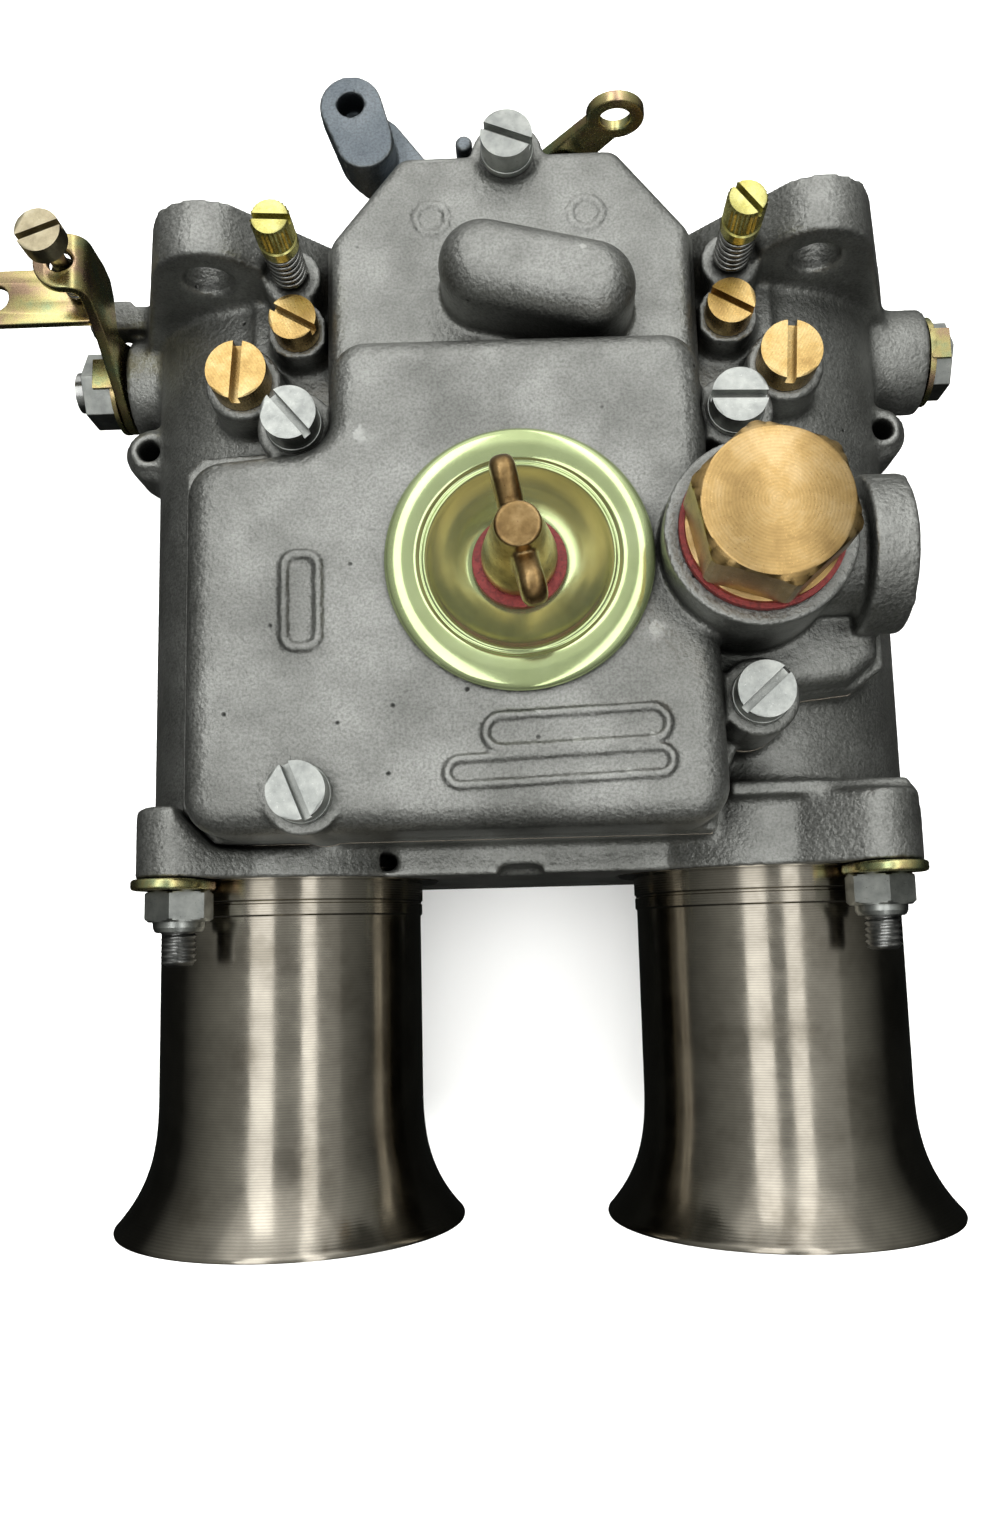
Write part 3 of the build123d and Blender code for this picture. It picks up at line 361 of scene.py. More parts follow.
def machined_cover(p):
    """The cover's joint face, raised marks, cap seat and plug collar, in millimetres."""
    joint_face = p.z < 28.6
    cap_seat = near_axis(p, 0.4, -67.5, 21.9) and p.z > 48.6
    raised_frames = 49.06 < p.z < 49.95 and not near_axis(p, -33.8, -103.6, 7.5)
    raised_rings = 36.06 < p.z < 36.8 and near_axis(Vector((abs(p.x), p.y)), 13.5, -1.0, 3.6)
    plug_collar = near_axis(p, 36.9, -66.4, 15.2) and p.z > 52.0
    return joint_face or cap_seat or raised_frames or raised_rings or plug_collar


blasted = cast_alloy("Blasted_cast_aluminium", "#868783", "#989995", "#a9aaa6", "#3a3b38")
body_casting = softened_casting("body", 0.75, 2, 9, 0.36, machined_body)
finished(body_casting, blasted, "casting", "cast_alloy", "body")
cover_casting = softened_casting("top_cover", 0.42, 1, 12, 0.34, machined_cover)
finished(cover_casting, blasted, "casting", "cast_alloy", "top_cover")
base_casting = softened_casting("bowl_base", 0.45, 2, 5, 0.5, lambda p: p.z > -45.4)
finished(base_casting, blasted, "casting", "cast_alloy", "bowl_base")


# ---- Starter cover ----
# A pressure-cast zinc alloy cover bolted over the cold-start valves, with a tall post whose tapped head
# clamps the choke cable's sheath. Bare zinc alloy is bluer, darker and smoother than the aluminium.
die_cast = cast_alloy("Bare_die_cast_zinc", "#6f777e", "#7d858b", "#8b9297", "#2f3437")
starter_casting = softened_casting("starter_cover", 0.4, 2, 7, 0.6, lambda p: p.y < 13.2)
finished(starter_casting, die_cast, "casting", "cast_alloy", "starter_cover")


# ---- Zinc-plated fasteners ----
# Turned steel cheese-head screws with spring washers, plated bright zinc: a pale, slightly blue silver
# with a soft gloss, faint turning marks and painted shade darkening the slots.
def plated(name, tones, clouds_mm, gloss, grain_mm, depth_mm, corner_shade_colour):
    """Plated or bare machined metal: clouds, a grain in its gloss and relief, and painted shade in its
    corners.
    """
    material, shader = new_material(name)
    shade = ramp(material, noise(material, clouds_mm, 4.0, 0.6), list(zip((0.34, 0.5, 0.66), tones)))
    # Painted shade: corners narrower than 1.6 mm are darkened towards the last dark colour given.
    shade = mixed(material, span(material, openness(material, 1.6), 0.2, 0.8, 0.85, 0.0), shade, corner_shade_colour)
    grain = noise(material, grain_mm, 3.0, 0.65)
    link(material, shade, shader.inputs["Base Color"])
    shader.inputs["Metallic"].default_value = 1.0
    link(material, span(material, grain, 0.3, 0.7, *gloss), shader.inputs["Roughness"])
    link(material, bump(material, grain, depth_mm), shader.inputs["Normal"])
    return material


def dressed(node, material, edge_mm=0.2):
    """Gives a CAD node its finish and breaks its sharp edges."""
    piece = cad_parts[node]
    for place in piece.material_slots:
        place.material = material
    weld = piece.modifiers.new("weld", "WELD")
    weld.merge_threshold = 1e-5
    if edge_mm:
        bevel = piece.modifiers.new("edges", "BEVEL")
        bevel.width = edge_mm / 1000
        bevel.segments = 2
        bevel.angle_limit = math.radians(38)
    piece.modifiers.new("shading", "WEIGHTED_NORMAL")


bright_zinc = plated(
    "Bright_zinc_plate", ("#9b9e9b", "#aeb1ad", "#bec1bc"), 3.0, (0.26, 0.42), 0.25, 0.008, "#3e3f3c")
for node in ("cover_screws", "cover_screw_washers", "bowl_base_screws", "starter_cover_screws", "shaft_nuts"):
    dressed(node, bright_zinc)
dressed("starter_lever_nut", bright_zinc)


# ---- Ram pipes ----
# Two trumpets spun from aluminium sheet and polished on the outside, with a thin turned band where they
# enter the body and a rolled lip. Spinning leaves fine rings round them that streak the reflections.
def turned_piece(name, centre, axis, profile, segments=96, shape=None, crease_degrees=35, closed=True):
    """Turns (radius, along) points in millimetres round an axis. shape() may vary the radius."""
    points = []
    for radius, along in profile:
        for step in range(segments):
            angle = 2 * math.pi * step / segments
            r = shape(angle, radius, along) if shape else radius
            u, v = r * math.cos(angle), r * math.sin(angle)
            place = {"X": (along, u, v), "Y": (u, along, v), "Z": (u, v, along)}[axis]
            points.append((Vector(place) + Vector(centre)) / 1000)
    rings = len(profile)
    faces = []
    for ring in range(rings if closed else rings - 1):
        low, high = ring * segments, (ring + 1) % rings * segments
        for step in range(segments):
            after = (step + 1) % segments
            faces.append((low + step, low + after, high + after, high + step))
    mesh = bpy.data.meshes.new(name)
    mesh.from_pydata(points, [], faces)
    tidy = bmesh.new()
    tidy.from_mesh(mesh)
    bmesh.ops.remove_doubles(tidy, verts=tidy.verts, dist=1e-6)
    bmesh.ops.dissolve_degenerate(tidy, edges=tidy.edges, dist=1e-6)
    bmesh.ops.recalc_face_normals(tidy, faces=tidy.faces)
    tidy.to_mesh(mesh)
    tidy.free()
    piece = mesh_piece(name, mesh)
    smooth_faces(piece, crease_degrees)
    return piece


def rounded(profile, corner_mm, steps=4):
    """Rounds the corners of a closed profile of (radius, along) points."""
    result = []
    for index, corner in enumerate(profile):
        here = Vector(corner)
        before, after = Vector(profile[index - 1]), Vector(profile[(index + 1) % len(profile)])
        start = here + (before - here) * min(0.45, corner_mm / max((before - here).length, 1e-6))
        end = here + (after - here) * min(0.45, corner_mm / max((after - here).length, 1e-6))
        for step in range(steps + 1):
            t = step / steps
            result.append(tuple(start * (1 - t) ** 2 + here * 2 * t * (1 - t) + end * t ** 2))
    return result


def waves(material, pitch_mm, centre, pattern, direction, distortion=0.0):
    """Rings or bands with a pitch in millimetres, centred on a point in millimetres."""
    moved = add(material, "ShaderNodeMapping", {
        "Vector": object_space(material), "Location": tuple(-c / 1000 for c in centre),
    }).outputs["Vector"]
    key = "rings_direction" if pattern == "RINGS" else "bands_direction"
    scale = 2 * math.pi / 20 / (pitch_mm / 1000)
    return add(material, "ShaderNodeTexWave", {
        "Vector": moved, "Scale": scale, "Distortion": distortion, "Detail": 2.0, "Detail Scale": 0.3,
    }, wave_type=pattern, **{key: direction}).outputs["Fac"]


def spun_aluminium():
    """Polished spun aluminium: a warm grey mirror, drawn out along the pipe by fine rings."""
    material, shader = new_material("Polished_spun_aluminium")
    clouds = noise(material, 14.0, 4.0, 0.6)
    shade = ramp(material, clouds, ((0.36, "#8d877b"), (0.5, "#a29c90"), (0.64, "#b0aa9d")))
    # The real rings are about 0.1 mm apart; they are drawn 0.45 mm apart so that they show.
    rings = waves(material, 0.45, (0, 0, 0), "BANDS", "Y", 0.6)
    streaks = ramp(material, rings, ((0.2, "#777777"), (0.8, "#ffffff")))
    shade = mixed(material, 0.16, shade, streaks, "MULTIPLY")
    link(material, shade, shader.inputs["Base Color"])
    shader.inputs["Metallic"].default_value = 1.0
    shader.inputs["Anisotropic"].default_value = 0.55
    shader.inputs["Anisotropic Rotation"].default_value = 0.25
    tangent = add(material, "ShaderNodeTangent", direction_type="RADIAL", axis="Y").outputs["Tangent"]
    link(material, tangent, shader.inputs["Tangent"])
    smears = noise(material, 5.0, 3.0, 0.6)
    link(material, span(material, smears, 0.35, 0.65, 0.15, 0.24), shader.inputs["Roughness"])
    rings_relief = bump(material, rings, 0.0025)
    link(material, bump(material, noise(material, 9.0, 2.0), 0.03, rings_relief), shader.inputs["Normal"])
    return material


spun = spun_aluminium()
PIPE_R, PIPE_WALL, PIPE_LIP_R, FLARE_LENGTH = 24.3, 1.3, 31.8, 24.0


def flared(narrow_r, wide_r, end_y, t):
    """A point along the pipe's flare, which leaves the straight wall gently and ends at end_y."""
    return narrow_r + (wide_r - narrow_r) * t ** 3, end_y + FLARE_LENGTH * (1 - t)


for side in ("left", "right"):
    node = "ram_pipe_" + side
    low, high = (corner * 1000 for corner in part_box(node))
    bore = PIPE_R - PIPE_WALL
    face_y = high.y - 2.0
    outside = [(27.6, high.y), (27.6, face_y), (PIPE_R + 0.4, face_y - 0.05), (PIPE_R + 0.4, face_y - 3.4)]
    outside += [(PIPE_R + 0.1, face_y - 3.7), (PIPE_R + 0.1, face_y - 4.0), (PIPE_R + 0.3, face_y - 4.2)]
    outside += [(PIPE_R + 0.3, face_y - 6.0), (PIPE_R, face_y - 6.3)]
    outside += [flared(PIPE_R, PIPE_LIP_R - 0.1, low.y + 0.75, step / 40) for step in range(41)]
    lip = [(PIPE_LIP_R, low.y + 0.45), (PIPE_LIP_R - 0.1, low.y + 0.12), (PIPE_LIP_R - 0.55, low.y)]
    inside = [flared(bore, PIPE_LIP_R - 1.1, low.y + 0.25, 1 - step / 40) for step in range(41)]
    profile = outside + lip + inside + [(bore, high.y)]
    pipe = turned_piece(node + "_spun", ((low.x + high.x) / 2, 0, 0), "Y", profile, 224, crease_degrees=40)
    finished(pipe, spun, "casting", "turned_alloy", node)


# ---- Ram pipe clips, studs and nuts ----
# Each pipe is held by two steel studs, a pressed clip plate in yellow passivated zinc that shows pink and
# green, and a bright self-locking nut with a nylon-filled collar.
yellow_zinc = plated(
    "Yellow_passivated_zinc", ("#c9a98c", "#d6c88a", "#b9c796"), 6.0, (0.20, 0.34), 0.3, 0.006, "#4a3c22")
steel = plated("Oiled_steel", ("#8f908e", "#a1a2a0", "#b0b1af"), 4.0, (0.28, 0.42), 0.2, 0.006, "#2a2a28")
dressed("ram_pipe_clips", yellow_zinc, 0.5)
low, high = (corner * 1000 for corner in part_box("ram_pipe_nuts"))
STUD_ACROSS, STUD_UP, THREAD_PITCH = 13.5, 29.0, 1.0
STUDS = [(side * (BARREL_X + up * STUD_ACROSS), up * STUD_UP) for side in (-1, 1) for up in (1, -1)]


def hexagonal(across_flats, flat_from, flat_to, chamfer):
    """Cuts a turned shape to a hexagon with chamfered corners over part of its length."""
    def shape(angle, radius, along):
        if not flat_from <= along <= flat_to:
            return radius
        facet = (angle + math.pi / 6) % (math.pi / 3) - math.pi / 6
        flat = across_flats / 2 / math.cos(facet)
        edge = min(along - flat_from, flat_to - along)
        return min(radius, flat, across_flats / 2 + chamfer * edge)
    return shape


def threaded(depth_mm, pitch_mm):
    """Cuts a V thread into a turned shape."""
    def shape(angle, radius, along):
        if radius < 1:
            return radius
        turn = (along / pitch_mm + angle / (2 * math.pi)) % 1
        return radius - depth_mm * abs(2 * turn - 1)
    return shape


def stations(start, end, step):
    """Evenly spaced distances from start to end."""
    count = max(1, round(abs(end - start) / step))
    return [start + (end - start) * i / count for i in range(count + 1)]


nut_pieces, stud_pieces = [], []
seat, collar_y = high.y, low.y
stud_end, stud_foot = (corner.y * 1000 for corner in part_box("ram_pipe_studs"))
for x, z in STUDS:
    flats = [(5.9, y) for y in stations(seat, seat - 5.2, 0.26)]
    collar = [(4.3, seat - 5.25), (4.25, seat - 6.2), (3.9, collar_y + 0.15), (3.5, collar_y)]
    collar += [(3.08, collar_y + 0.3)]
    nut = turned_piece("nut", (x, 0, z), "Y", flats + collar + [(3.08, seat)], 72,
                       hexagonal(10.0, seat - 5.2, seat, 1.5), 24)
    nut_pieces.append(nut)
    thread = [(0.0, stud_end), (2.3, stud_end)]
    thread += [(2.98, y) for y in stations(stud_end + 0.5, stud_foot, 0.17)] + [(0.0, stud_foot)]
    stud = turned_piece("stud", (x, 0, z), "Y", thread, 28, threaded(0.5, THREAD_PITCH), 60, closed=False)
    stud_pieces.append(stud)


def joined(name, pieces):
    """Joins pieces into one."""
    whole = bmesh.new()
    for piece in pieces:
        whole.from_mesh(piece.data)
    mesh = bpy.data.meshes.new(name)
    whole.to_mesh(mesh)
    whole.free()
    for piece in pieces:
        bpy.data.objects.remove(piece)
    return mesh_piece(name, mesh)


finished(joined("pipe_nuts", nut_pieces), bright_zinc, "casting", "zinc_bright", "ram_pipe_nuts")
finished(joined("pipe_studs", stud_pieces), steel, "casting", "zinc_bright", "ram_pipe_studs")


# ---- Inspection cap, its screw and seals ----
# A deep-drawn steel lid over the jets, bright with greenish yellow passivation, held down by a bronze
# wing screw that stands on a red fibre washer in the middle of the dish.
cap_low, cap_high = (corner * 1000 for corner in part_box("inspection_cap"))
cap_x, cap_y = (cap_low.x + cap_high.x) / 2, (cap_low.y + cap_high.y) / 2
CAP_PROFILE = (
    (3.2, 47.1), (8.2, 47.15), (10.2, 47.7), (12.2, 48.7), (13.6, 49.75), (14.5, 50.75), (14.9, 51.0),
    (15.25, 50.72), (15.65, 50.78), (16.1, 51.2), (18.6, 51.4), (20.4, 51.1), (21.15, 50.35), (21.15, 49.95),
    (16.9, 49.95), (14.1, 46.2), (3.2, 45.65),
)
# Smooth plate under a thin yellow-green film, so a little of the light comes back from the film itself.
green_zinc = plated(
    "Green_yellow_passivated_zinc", ("#bccb94", "#c6d59d", "#cedda7"),
    14.0, (0.10, 0.17), 0.3, 0.002, "#34361f")
green_zinc.node_tree.nodes["Principled BSDF"].inputs["Metallic"].default_value = 0.93
lid_profile = rounded(CAP_PROFILE, 0.8)
cap = turned_piece("inspection_cap_lid", (cap_x, cap_y, 0), "Z", lid_profile, 160, crease_degrees=50)
finished(cap, green_zinc, "casting", "zinc_yellow", "inspection_cap")


def pressed_plate(name, loops, thickness, edge_mm, steps=2):
    """A flat plate with rounded edges from closed outlines in millimetres; the inner ones are holes."""
    curve = bpy.data.curves.new(name, "CURVE")
    curve.dimensions = "2D"
    curve.fill_mode = "BOTH"
    curve.extrude = (thickness / 2 - edge_mm) / 1000
    curve.bevel_depth = edge_mm / 1000
    curve.bevel_resolution = steps
    curve.offset = -edge_mm / 1000
    for loop in loops:
        spline = curve.splines.new("POLY")
        spline.points.add(len(loop) - 1)
        for point, (x, y) in zip(spline.points, loop):
            point.co = (x / 1000, y / 1000, 0, 1)
        spline.use_cyclic_u = True
    flat = bpy.data.objects.new(name, curve)
    bpy.context.scene.collection.objects.link(flat)
    graph = bpy.context.evaluated_depsgraph_get()
    mesh = bpy.data.meshes.new_from_object(flat.evaluated_get(graph))
    bpy.data.objects.remove(flat)
    tidy = bmesh.new()
    tidy.from_mesh(mesh)
    bmesh.ops.remove_doubles(tidy, verts=tidy.verts, dist=1e-6)
    bmesh.ops.recalc_face_normals(tidy, faces=tidy.faces)
    tidy.to_mesh(mesh)
    tidy.free()
    return mesh_piece(name, mesh)


def circle(x, y, radius, steps=40):
    angles = [2 * math.pi * k / steps for k in range(steps)]
    return [(x + radius * math.cos(a), y + radius * math.sin(a)) for a in angles]


def arc(x, y, radius, start_degrees, end_degrees, steps):
    swept = end_degrees - start_degrees
    angles = [math.radians(start_degrees + swept * k / steps) for k in range(steps + 1)]
    return [(x + radius * math.cos(a), y + radius * math.sin(a)) for a in angles]


def link_outline(first, second):
    """The outline round two circles, each (x, y, radius), joined by their outer tangents."""
    (x0, y0, r0), (x1, y1, r1) = first, second
    along = math.atan2(y1 - y0, x1 - x0)
    lean = math.acos((r0 - r1) / math.hypot(x1 - x0, y1 - y0))
    a, b = math.degrees(along + lean), math.degrees(along - lean)
    return arc(x0, y0, r0, a, b + 360, 24) + arc(x1, y1, r1, b, a, 24)


def cast_together(name, pieces, voxel_mm, rounds):
    """Melts pieces into one rounded casting or sintering."""
    piece = joined(name, pieces)
    remesh = piece.modifiers.new("grid", "REMESH")
    remesh.mode = "VOXEL"
    remesh.voxel_size = voxel_mm / 1000
    soften = piece.modifiers.new("fillets", "SMOOTH")
    soften.iterations = rounds
    applied(piece)
    smooth_faces(piece)
    return piece


def placed(piece, matrix):
    """Moves a piece's points from its own drawing plane to the model."""
    piece.data.transform(matrix)
    return piece


wing_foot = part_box("wing_screw")[0].z * 1000
hub = [(0.01, 48.62), (5.7, 48.62), (6.0, 49.4), (5.9, 52.0)]
hub += [(4.9, 58.0), (3.6, 65.0), (3.5, 66.0), (0.01, 66.0)]
wing_parts = [turned_piece("hub", (0, 0, 0), "Z", hub, 48)]
for way in (-1, 1):
    lobe = pressed_plate("wing", [link_outline((way * 0.5, 58.5, 3.0), (way * 8.4, 63.0, 3.2))], 3.9, 1.5, 4)
    wing_parts.append(placed(lobe, Matrix.Rotation(math.pi / 2, 4, "X")))
wings = cast_together("wing_screw_head", wing_parts, 0.28, 6)
shank = [(0.01, wing_foot), (2.2, wing_foot)]
shank += [(2.88, z) for z in stations(wing_foot + 0.6, 30, 0.16)] + [(2.88, 48.7), (0.01, 48.7)]
thread = turned_piece("wing_screw_shank", (0, 0, 0), "Z", shank, 28, threaded(0.45, 0.8), 60)
wing_screw = joined("bronze_wing_screw", [wings, thread])
wing_turn = Matrix.Rotation(math.radians(102.5), 4, "Z")
placed(wing_screw, Matrix.Translation(millimetres(cap_x, cap_y, 0)) @ wing_turn)
# Pressed and sintered bronze, rubbed by fingers: brown in the hollows, paler where it is handled.
bronze = plated("Sintered_bronze", ("#6e5638", "#957a50", "#b79a6c"), 5.0, (0.27, 0.42), 0.5, 0.02, "#2c2012")
finished(wing_screw, bronze, "cap_screw", "brass", "wing_screw")


def fibre(name, tones, gloss):
    """Pressed fibre or paper: matt, with short matted threads."""
    material, shader = new_material(name)
    threads = add(material, "ShaderNodeTexNoise", {
        "Vector": object_space(material), "Scale": per_metre(0.9), "Detail": 6.0, "Distortion": 1.6,
    }).outputs["Fac"]
    link(material, ramp(material, threads, list(zip((0.3, 0.5, 0.7), tones))), shader.inputs["Base Color"])
    shader.inputs["Roughness"].default_value = gloss
    link(material, bump(material, threads, 0.03), shader.inputs["Normal"])
    return material


# Vulcanised fibre is dense and horn-like, a dull dark red; gasket paper is softer and grey brown.
red_fibre = fibre("Red_vulcanised_fibre", ("#3f100e", "#5c1a18", "#6d2522"), 0.6)
for node in ("wing_screw_washer", "filter_plug_gasket"):
    dressed(node, red_fibre, 0.15)
gasket = fibre("Grey_brown_gasket_paper", ("#4d4840", "#625c51", "#746d60"), 0.8)
for node in ("cover_gasket", "bowl_base_gasket", "inspection_cap_seal"):
    dressed(node, gasket, 0)


# ---- Filter plug, fuel filter and brass plugs ----
# The large hexagonal plug over the fuel filter and the four slotted plugs are turned from brass bar. The
# big plug's crown shows fine turning rings and stains; the little ones are brighter and rubbed at the edges.
plug_low, plug_high = (corner * 1000 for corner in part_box("filter_plug"))
plug_x, plug_y = (plug_low.x + plug_high.x) / 2, (plug_low.y + plug_high.y) / 2


def turned_brass(name, tones, centre, pitch_mm, gloss, corner_shade_colour):
    """Turned brass: warm clouds of stain over fine rings that spread the highlights."""
    material, shader = new_material(name)
    shade = ramp(material, noise(material, 7.0, 5.0, 0.65), list(zip((0.34, 0.5, 0.64), tones)))
    rings = waves(material, pitch_mm, centre, "RINGS", "Z", 0.4)
    cut_marks = ramp(material, rings, ((0.2, "#8a8a8a"), (0.8, "#ffffff")))
    shade = mixed(material, 0.12, shade, cut_marks, "MULTIPLY")
    # Painted shade: corners narrower than 2 mm are darkened towards the last dark colour given.
    shade = mixed(material, span(material, openness(material, 2.0), 0.2, 0.8, 0.8, 0.0), shade, corner_shade_colour)
    link(material, shade, shader.inputs["Base Color"])
    shader.inputs["Metallic"].default_value = 1.0
    grain = noise(material, 0.35, 3.0, 0.65)
    link(material, span(material, grain, 0.3, 0.7, *gloss), shader.inputs["Roughness"])
    link(material, bump(material, rings, 0.003, bump(material, grain, 0.012)), shader.inputs["Normal"])
    return material


# Cutting marks are about 0.1 mm apart; they are drawn 0.5 mm apart so that they show.
warm_brass = turned_brass(
    "Stained_turned_brass", ("#a98b5a", "#c0a069", "#cfb280"),
    (plug_x, plug_y, 0), 0.5, (0.26, 0.38), "#3b2a14")
crown = plug_high.z
hexagon_from = crown - 10.1
plug_profile = [(0.01, plug_low.z), (8.9, plug_low.z), (8.9, hexagon_from - 1.3), (11.8, hexagon_from - 1.2)]
plug_profile += [(11.8, hexagon_from - 0.1)]
plug_profile += [(12.5, z) for z in stations(hexagon_from, crown - 1.5, 0.3)]
plug_profile += [(12.4, crown - 1.3), (11.7, crown - 0.75), (10.9, crown - 0.18)]
plug_profile += [(10.5, crown - 0.02), (0.01, crown)]


def plug_hexagon(angle, radius, along):
    """A 22 mm hexagon, turned 12 degrees, below the turned crown."""
    facet = (angle - math.radians(12) + math.pi / 6) % (math.pi / 3) - math.pi / 6
    flat = min(11.0 / math.cos(facet), 12.45)
    return min(radius, flat) if along > hexagon_from - 0.05 else radius


plug = turned_piece("hexagonal_plug", (plug_x, plug_y, 0), "Z", plug_profile, 180, plug_hexagon, 22)
finished(plug, warm_brass, "casting", "brass", "filter_plug")
small_brass = turned_brass(
    "Bright_turned_brass", ("#b0905a", "#cbab6e", "#dcc28a"), (0, 0, 0), 0.5, (0.24, 0.36), "#38290f")
for node in ("progression_plugs", "pump_jet_plugs"):
    dressed(node, small_brass, 0.35)


# ---- Mixture screws ----
# Two pointed idle-mixture screws with knurled, slotted heads, held from turning by steel springs. They are
# passivated a greenish gold, which the knurling breaks into fine bright and dark lines.
def knurled(depth_mm, teeth, low_mm):
    """Cuts straight knurling into a turned shape above a height."""
    def shape(angle, radius, along):
        if along < low_mm or radius < 3.1:
            return radius
        return radius - depth_mm * (0.5 + 0.5 * math.cos(teeth * angle))
    return shape


def slotted(piece, centre, width, depth, turn_degrees, reach=12.0):
    """Saws a screwdriver slot across a piece's top."""
    cutter = bmesh.new()
    bmesh.ops.create_cube(cutter, size=1.0)
    mesh = bpy.data.meshes.new("slot")
    turn = Matrix.Rotation(math.radians(turn_degrees), 4, "Z")
    size = Matrix.Diagonal((reach / 1000, width / 1000, 2 * depth / 1000, 1))
    cutter.transform(Matrix.Translation(Vector(centre) / 1000) @ turn @ size)
    cutter.to_mesh(mesh)
    cutter.free()
    saw = mesh_piece("slot", mesh)
    cut = piece.modifiers.new("slot", "BOOLEAN")
    cut.operation = "DIFFERENCE"
    cut.object = saw
    applied(piece)
    bpy.data.objects.remove(saw)
    smooth_faces(piece, 32)
    return piece


gold_zinc = plated(
    "Gold_passivated_zinc", ("#b3ab62", "#c9c378", "#d7d38e"), 3.0, (0.22, 0.36), 0.3, 0.008, "#2e2c14")
for side, turn in (("left", -4), ("right", -52)):
    node = "mixture_screw_" + side
    low, high = (corner * 1000 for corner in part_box(node))
    top = high.z
    outline = [(0.01, low.z), (0.4, low.z), (1.6, low.z + 1.2)]
    outline += [(1.95, z) for z in stations(low.z + 2.0, top - 8.8, 0.14)]
    outline += [(1.95, top - 8.6), (3.0, top - 8.5), (3.32, top - 8.2), (3.34, top - 6.2), (3.05, top - 6.0)]
    outline += [(3.05, top - 5.6), (3.34, top - 5.4)]
    outline += [(3.34, z) for z in stations(top - 4.8, top - 0.9, 0.6)]
    outline += [(3.34, top - 0.45), (3.0, top - 0.05), (2.7, top), (0.01, top)]

    def screw_shape(angle, radius, along):
        if along < top - 8.8:
            return threaded(0.4, 0.7)(angle, radius, along)
        return knurled(0.28, 26, top - 5.5)(angle, radius, along)

    middle = ((low.x + high.x) / 2, (low.y + high.y) / 2, 0)
    screw = turned_piece(node + "_turned", middle, "Z", outline, 156, screw_shape, 40)
    slotted(screw, (middle[0], middle[1], top), 1.05, 1.5, turn)
    finished(screw, gold_zinc, "mixture_" + side, "zinc_yellow", node)
# Hard-drawn wire: bright and smooth, with painted shade darkening the gaps between the coils.
spring_wire = plated(
    "Drawn_spring_steel", ("#8d8d8a", "#a7a7a4", "#bdbdb9"), 3.0, (0.18, 0.3), 0.2, 0.004, "#242422")
for node in ("mixture_springs", "idle_speed_spring", "pump_spring"):
    dressed(node, spring_wire, 0)


# ---- Throttle lever and idle-speed screw ----
# Pressed steel plates, 2 mm thick, on the left end of the shaft: a plate whose top bends over into an ear
# for the idle-speed screw, and a flat arm below it for the linkage. The passivation is straw, pink and green.
def bent_plate(name, loops, thickness, x_middle, bend_z, bend_r):
    """A pressed plate drawn flat in Y and height, stood up at x_middle and bent towards -X at its top."""
    piece = pressed_plate(name, loops, thickness, 0.35)
    cuts = bmesh.new()
    cuts.from_mesh(piece.data)
    for step in range(9):
        height = (bend_z + bend_r * math.pi / 2 * step / 8) / 1000
        bmesh.ops.bisect_plane(
            cuts, geom=list(cuts.verts) + list(cuts.edges) + list(cuts.faces), dist=1e-7,
            plane_co=(0, height, 0), plane_no=(0, 1, 0))
    for vertex in cuts.verts:
        y, up, inward = vertex.co * 1000
        turn = max(0.0, min((up - bend_z) / bend_r, math.pi / 2))
        beyond = max(0.0, up - bend_z - bend_r * math.pi / 2)
        rise = min(up, bend_z)
        radius = bend_r + inward
        vertex.co = millimetres(
            x_middle - bend_r + radius * math.cos(turn) - beyond, y, rise + radius * math.sin(turn))
    bmesh.ops.recalc_face_normals(cuts, faces=cuts.faces)
    cuts.to_mesh(piece.data)
    cuts.free()
    smooth_faces(piece, 32)
    return piece


idle_low, idle_high = (corner * 1000 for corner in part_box("idle_speed_screw"))
idle_x, idle_y = (idle_low.x + idle_high.x) / 2, (idle_low.y + idle_high.y) / 2
shaft_low, shaft_high = (corner * 1000 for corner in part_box("throttle_shaft"))
shaft_y = (shaft_low.y + shaft_high.y) / 2
LEVER_X, BEND_Z, BEND_R, EAR_R = -78.05, 27.4, 2.6, 5.3
ear_start = BEND_Z + BEND_R * math.pi / 2
screw_up = ear_start + LEVER_X - BEND_R - idle_x
lever_loop = arc(shaft_y, 0, 8.5, 165, 375, 28) + [(-6.9, 8.0)] + arc(-4.6, 10.6, 2.4, 190, 110, 6)
lever_loop += [(-1.0, 14.6), (1.4, 16.8), (2.3, 20.5), (2.4, 26.0)]
lever_loop += arc(idle_y - 0.1, screw_up - 0.5, EAR_R, 0, 180, 24)
lever_loop += [(-8.3, 26.0), (-11.0, 19.5), (-19.5, 6.0)]
lever = bent_plate("lever", [lever_loop, circle(shaft_y, 0, 4.02), circle(idle_y, screw_up, 2.2, 28)],
                   2.0, LEVER_X, BEND_Z, BEND_R)
ARM_R, ARM_Z = 5.5, 19.3
eye_x, eye_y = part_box("throttle_lever")[0].x * 1000 + ARM_R, -3.5
arm_loop = arc(eye_x, eye_y, ARM_R, 90, 270, 20)
arm_loop += arc(-80.2, -7.8, 1.2, -90, 0, 6) + arc(-80.2, 0.8, 1.2, 0, 90, 6)
arm_holes = [circle(eye_x, eye_y, 2.6, 28), circle(idle_x, idle_y, 1.7, 28)]
arm = pressed_plate("arm", [arm_loop] + arm_holes, 1.8, 0.3)
smooth_faces(arm, 32)
placed(arm, Matrix.Translation(millimetres(0, 0, ARM_Z)))
lever_plates = joined("throttle_lever_plates", [lever, arm])
finished(lever_plates, yellow_zinc, "throttle", "zinc_yellow", "throttle_lever")
for node in ("shaft_lock_tabs", "pump_lever"):
    dressed(node, yellow_zinc, 0.25)
# The idle screw's thinner film is the colour of straw.
straw_zinc = plated(
    "Straw_passivated_zinc", ("#a59a80", "#bdb294", "#cbc2a6"), 3.0, (0.26, 0.4), 0.3, 0.01, "#35301f")
dressed("idle_speed_screw", straw_zinc, 0.3)


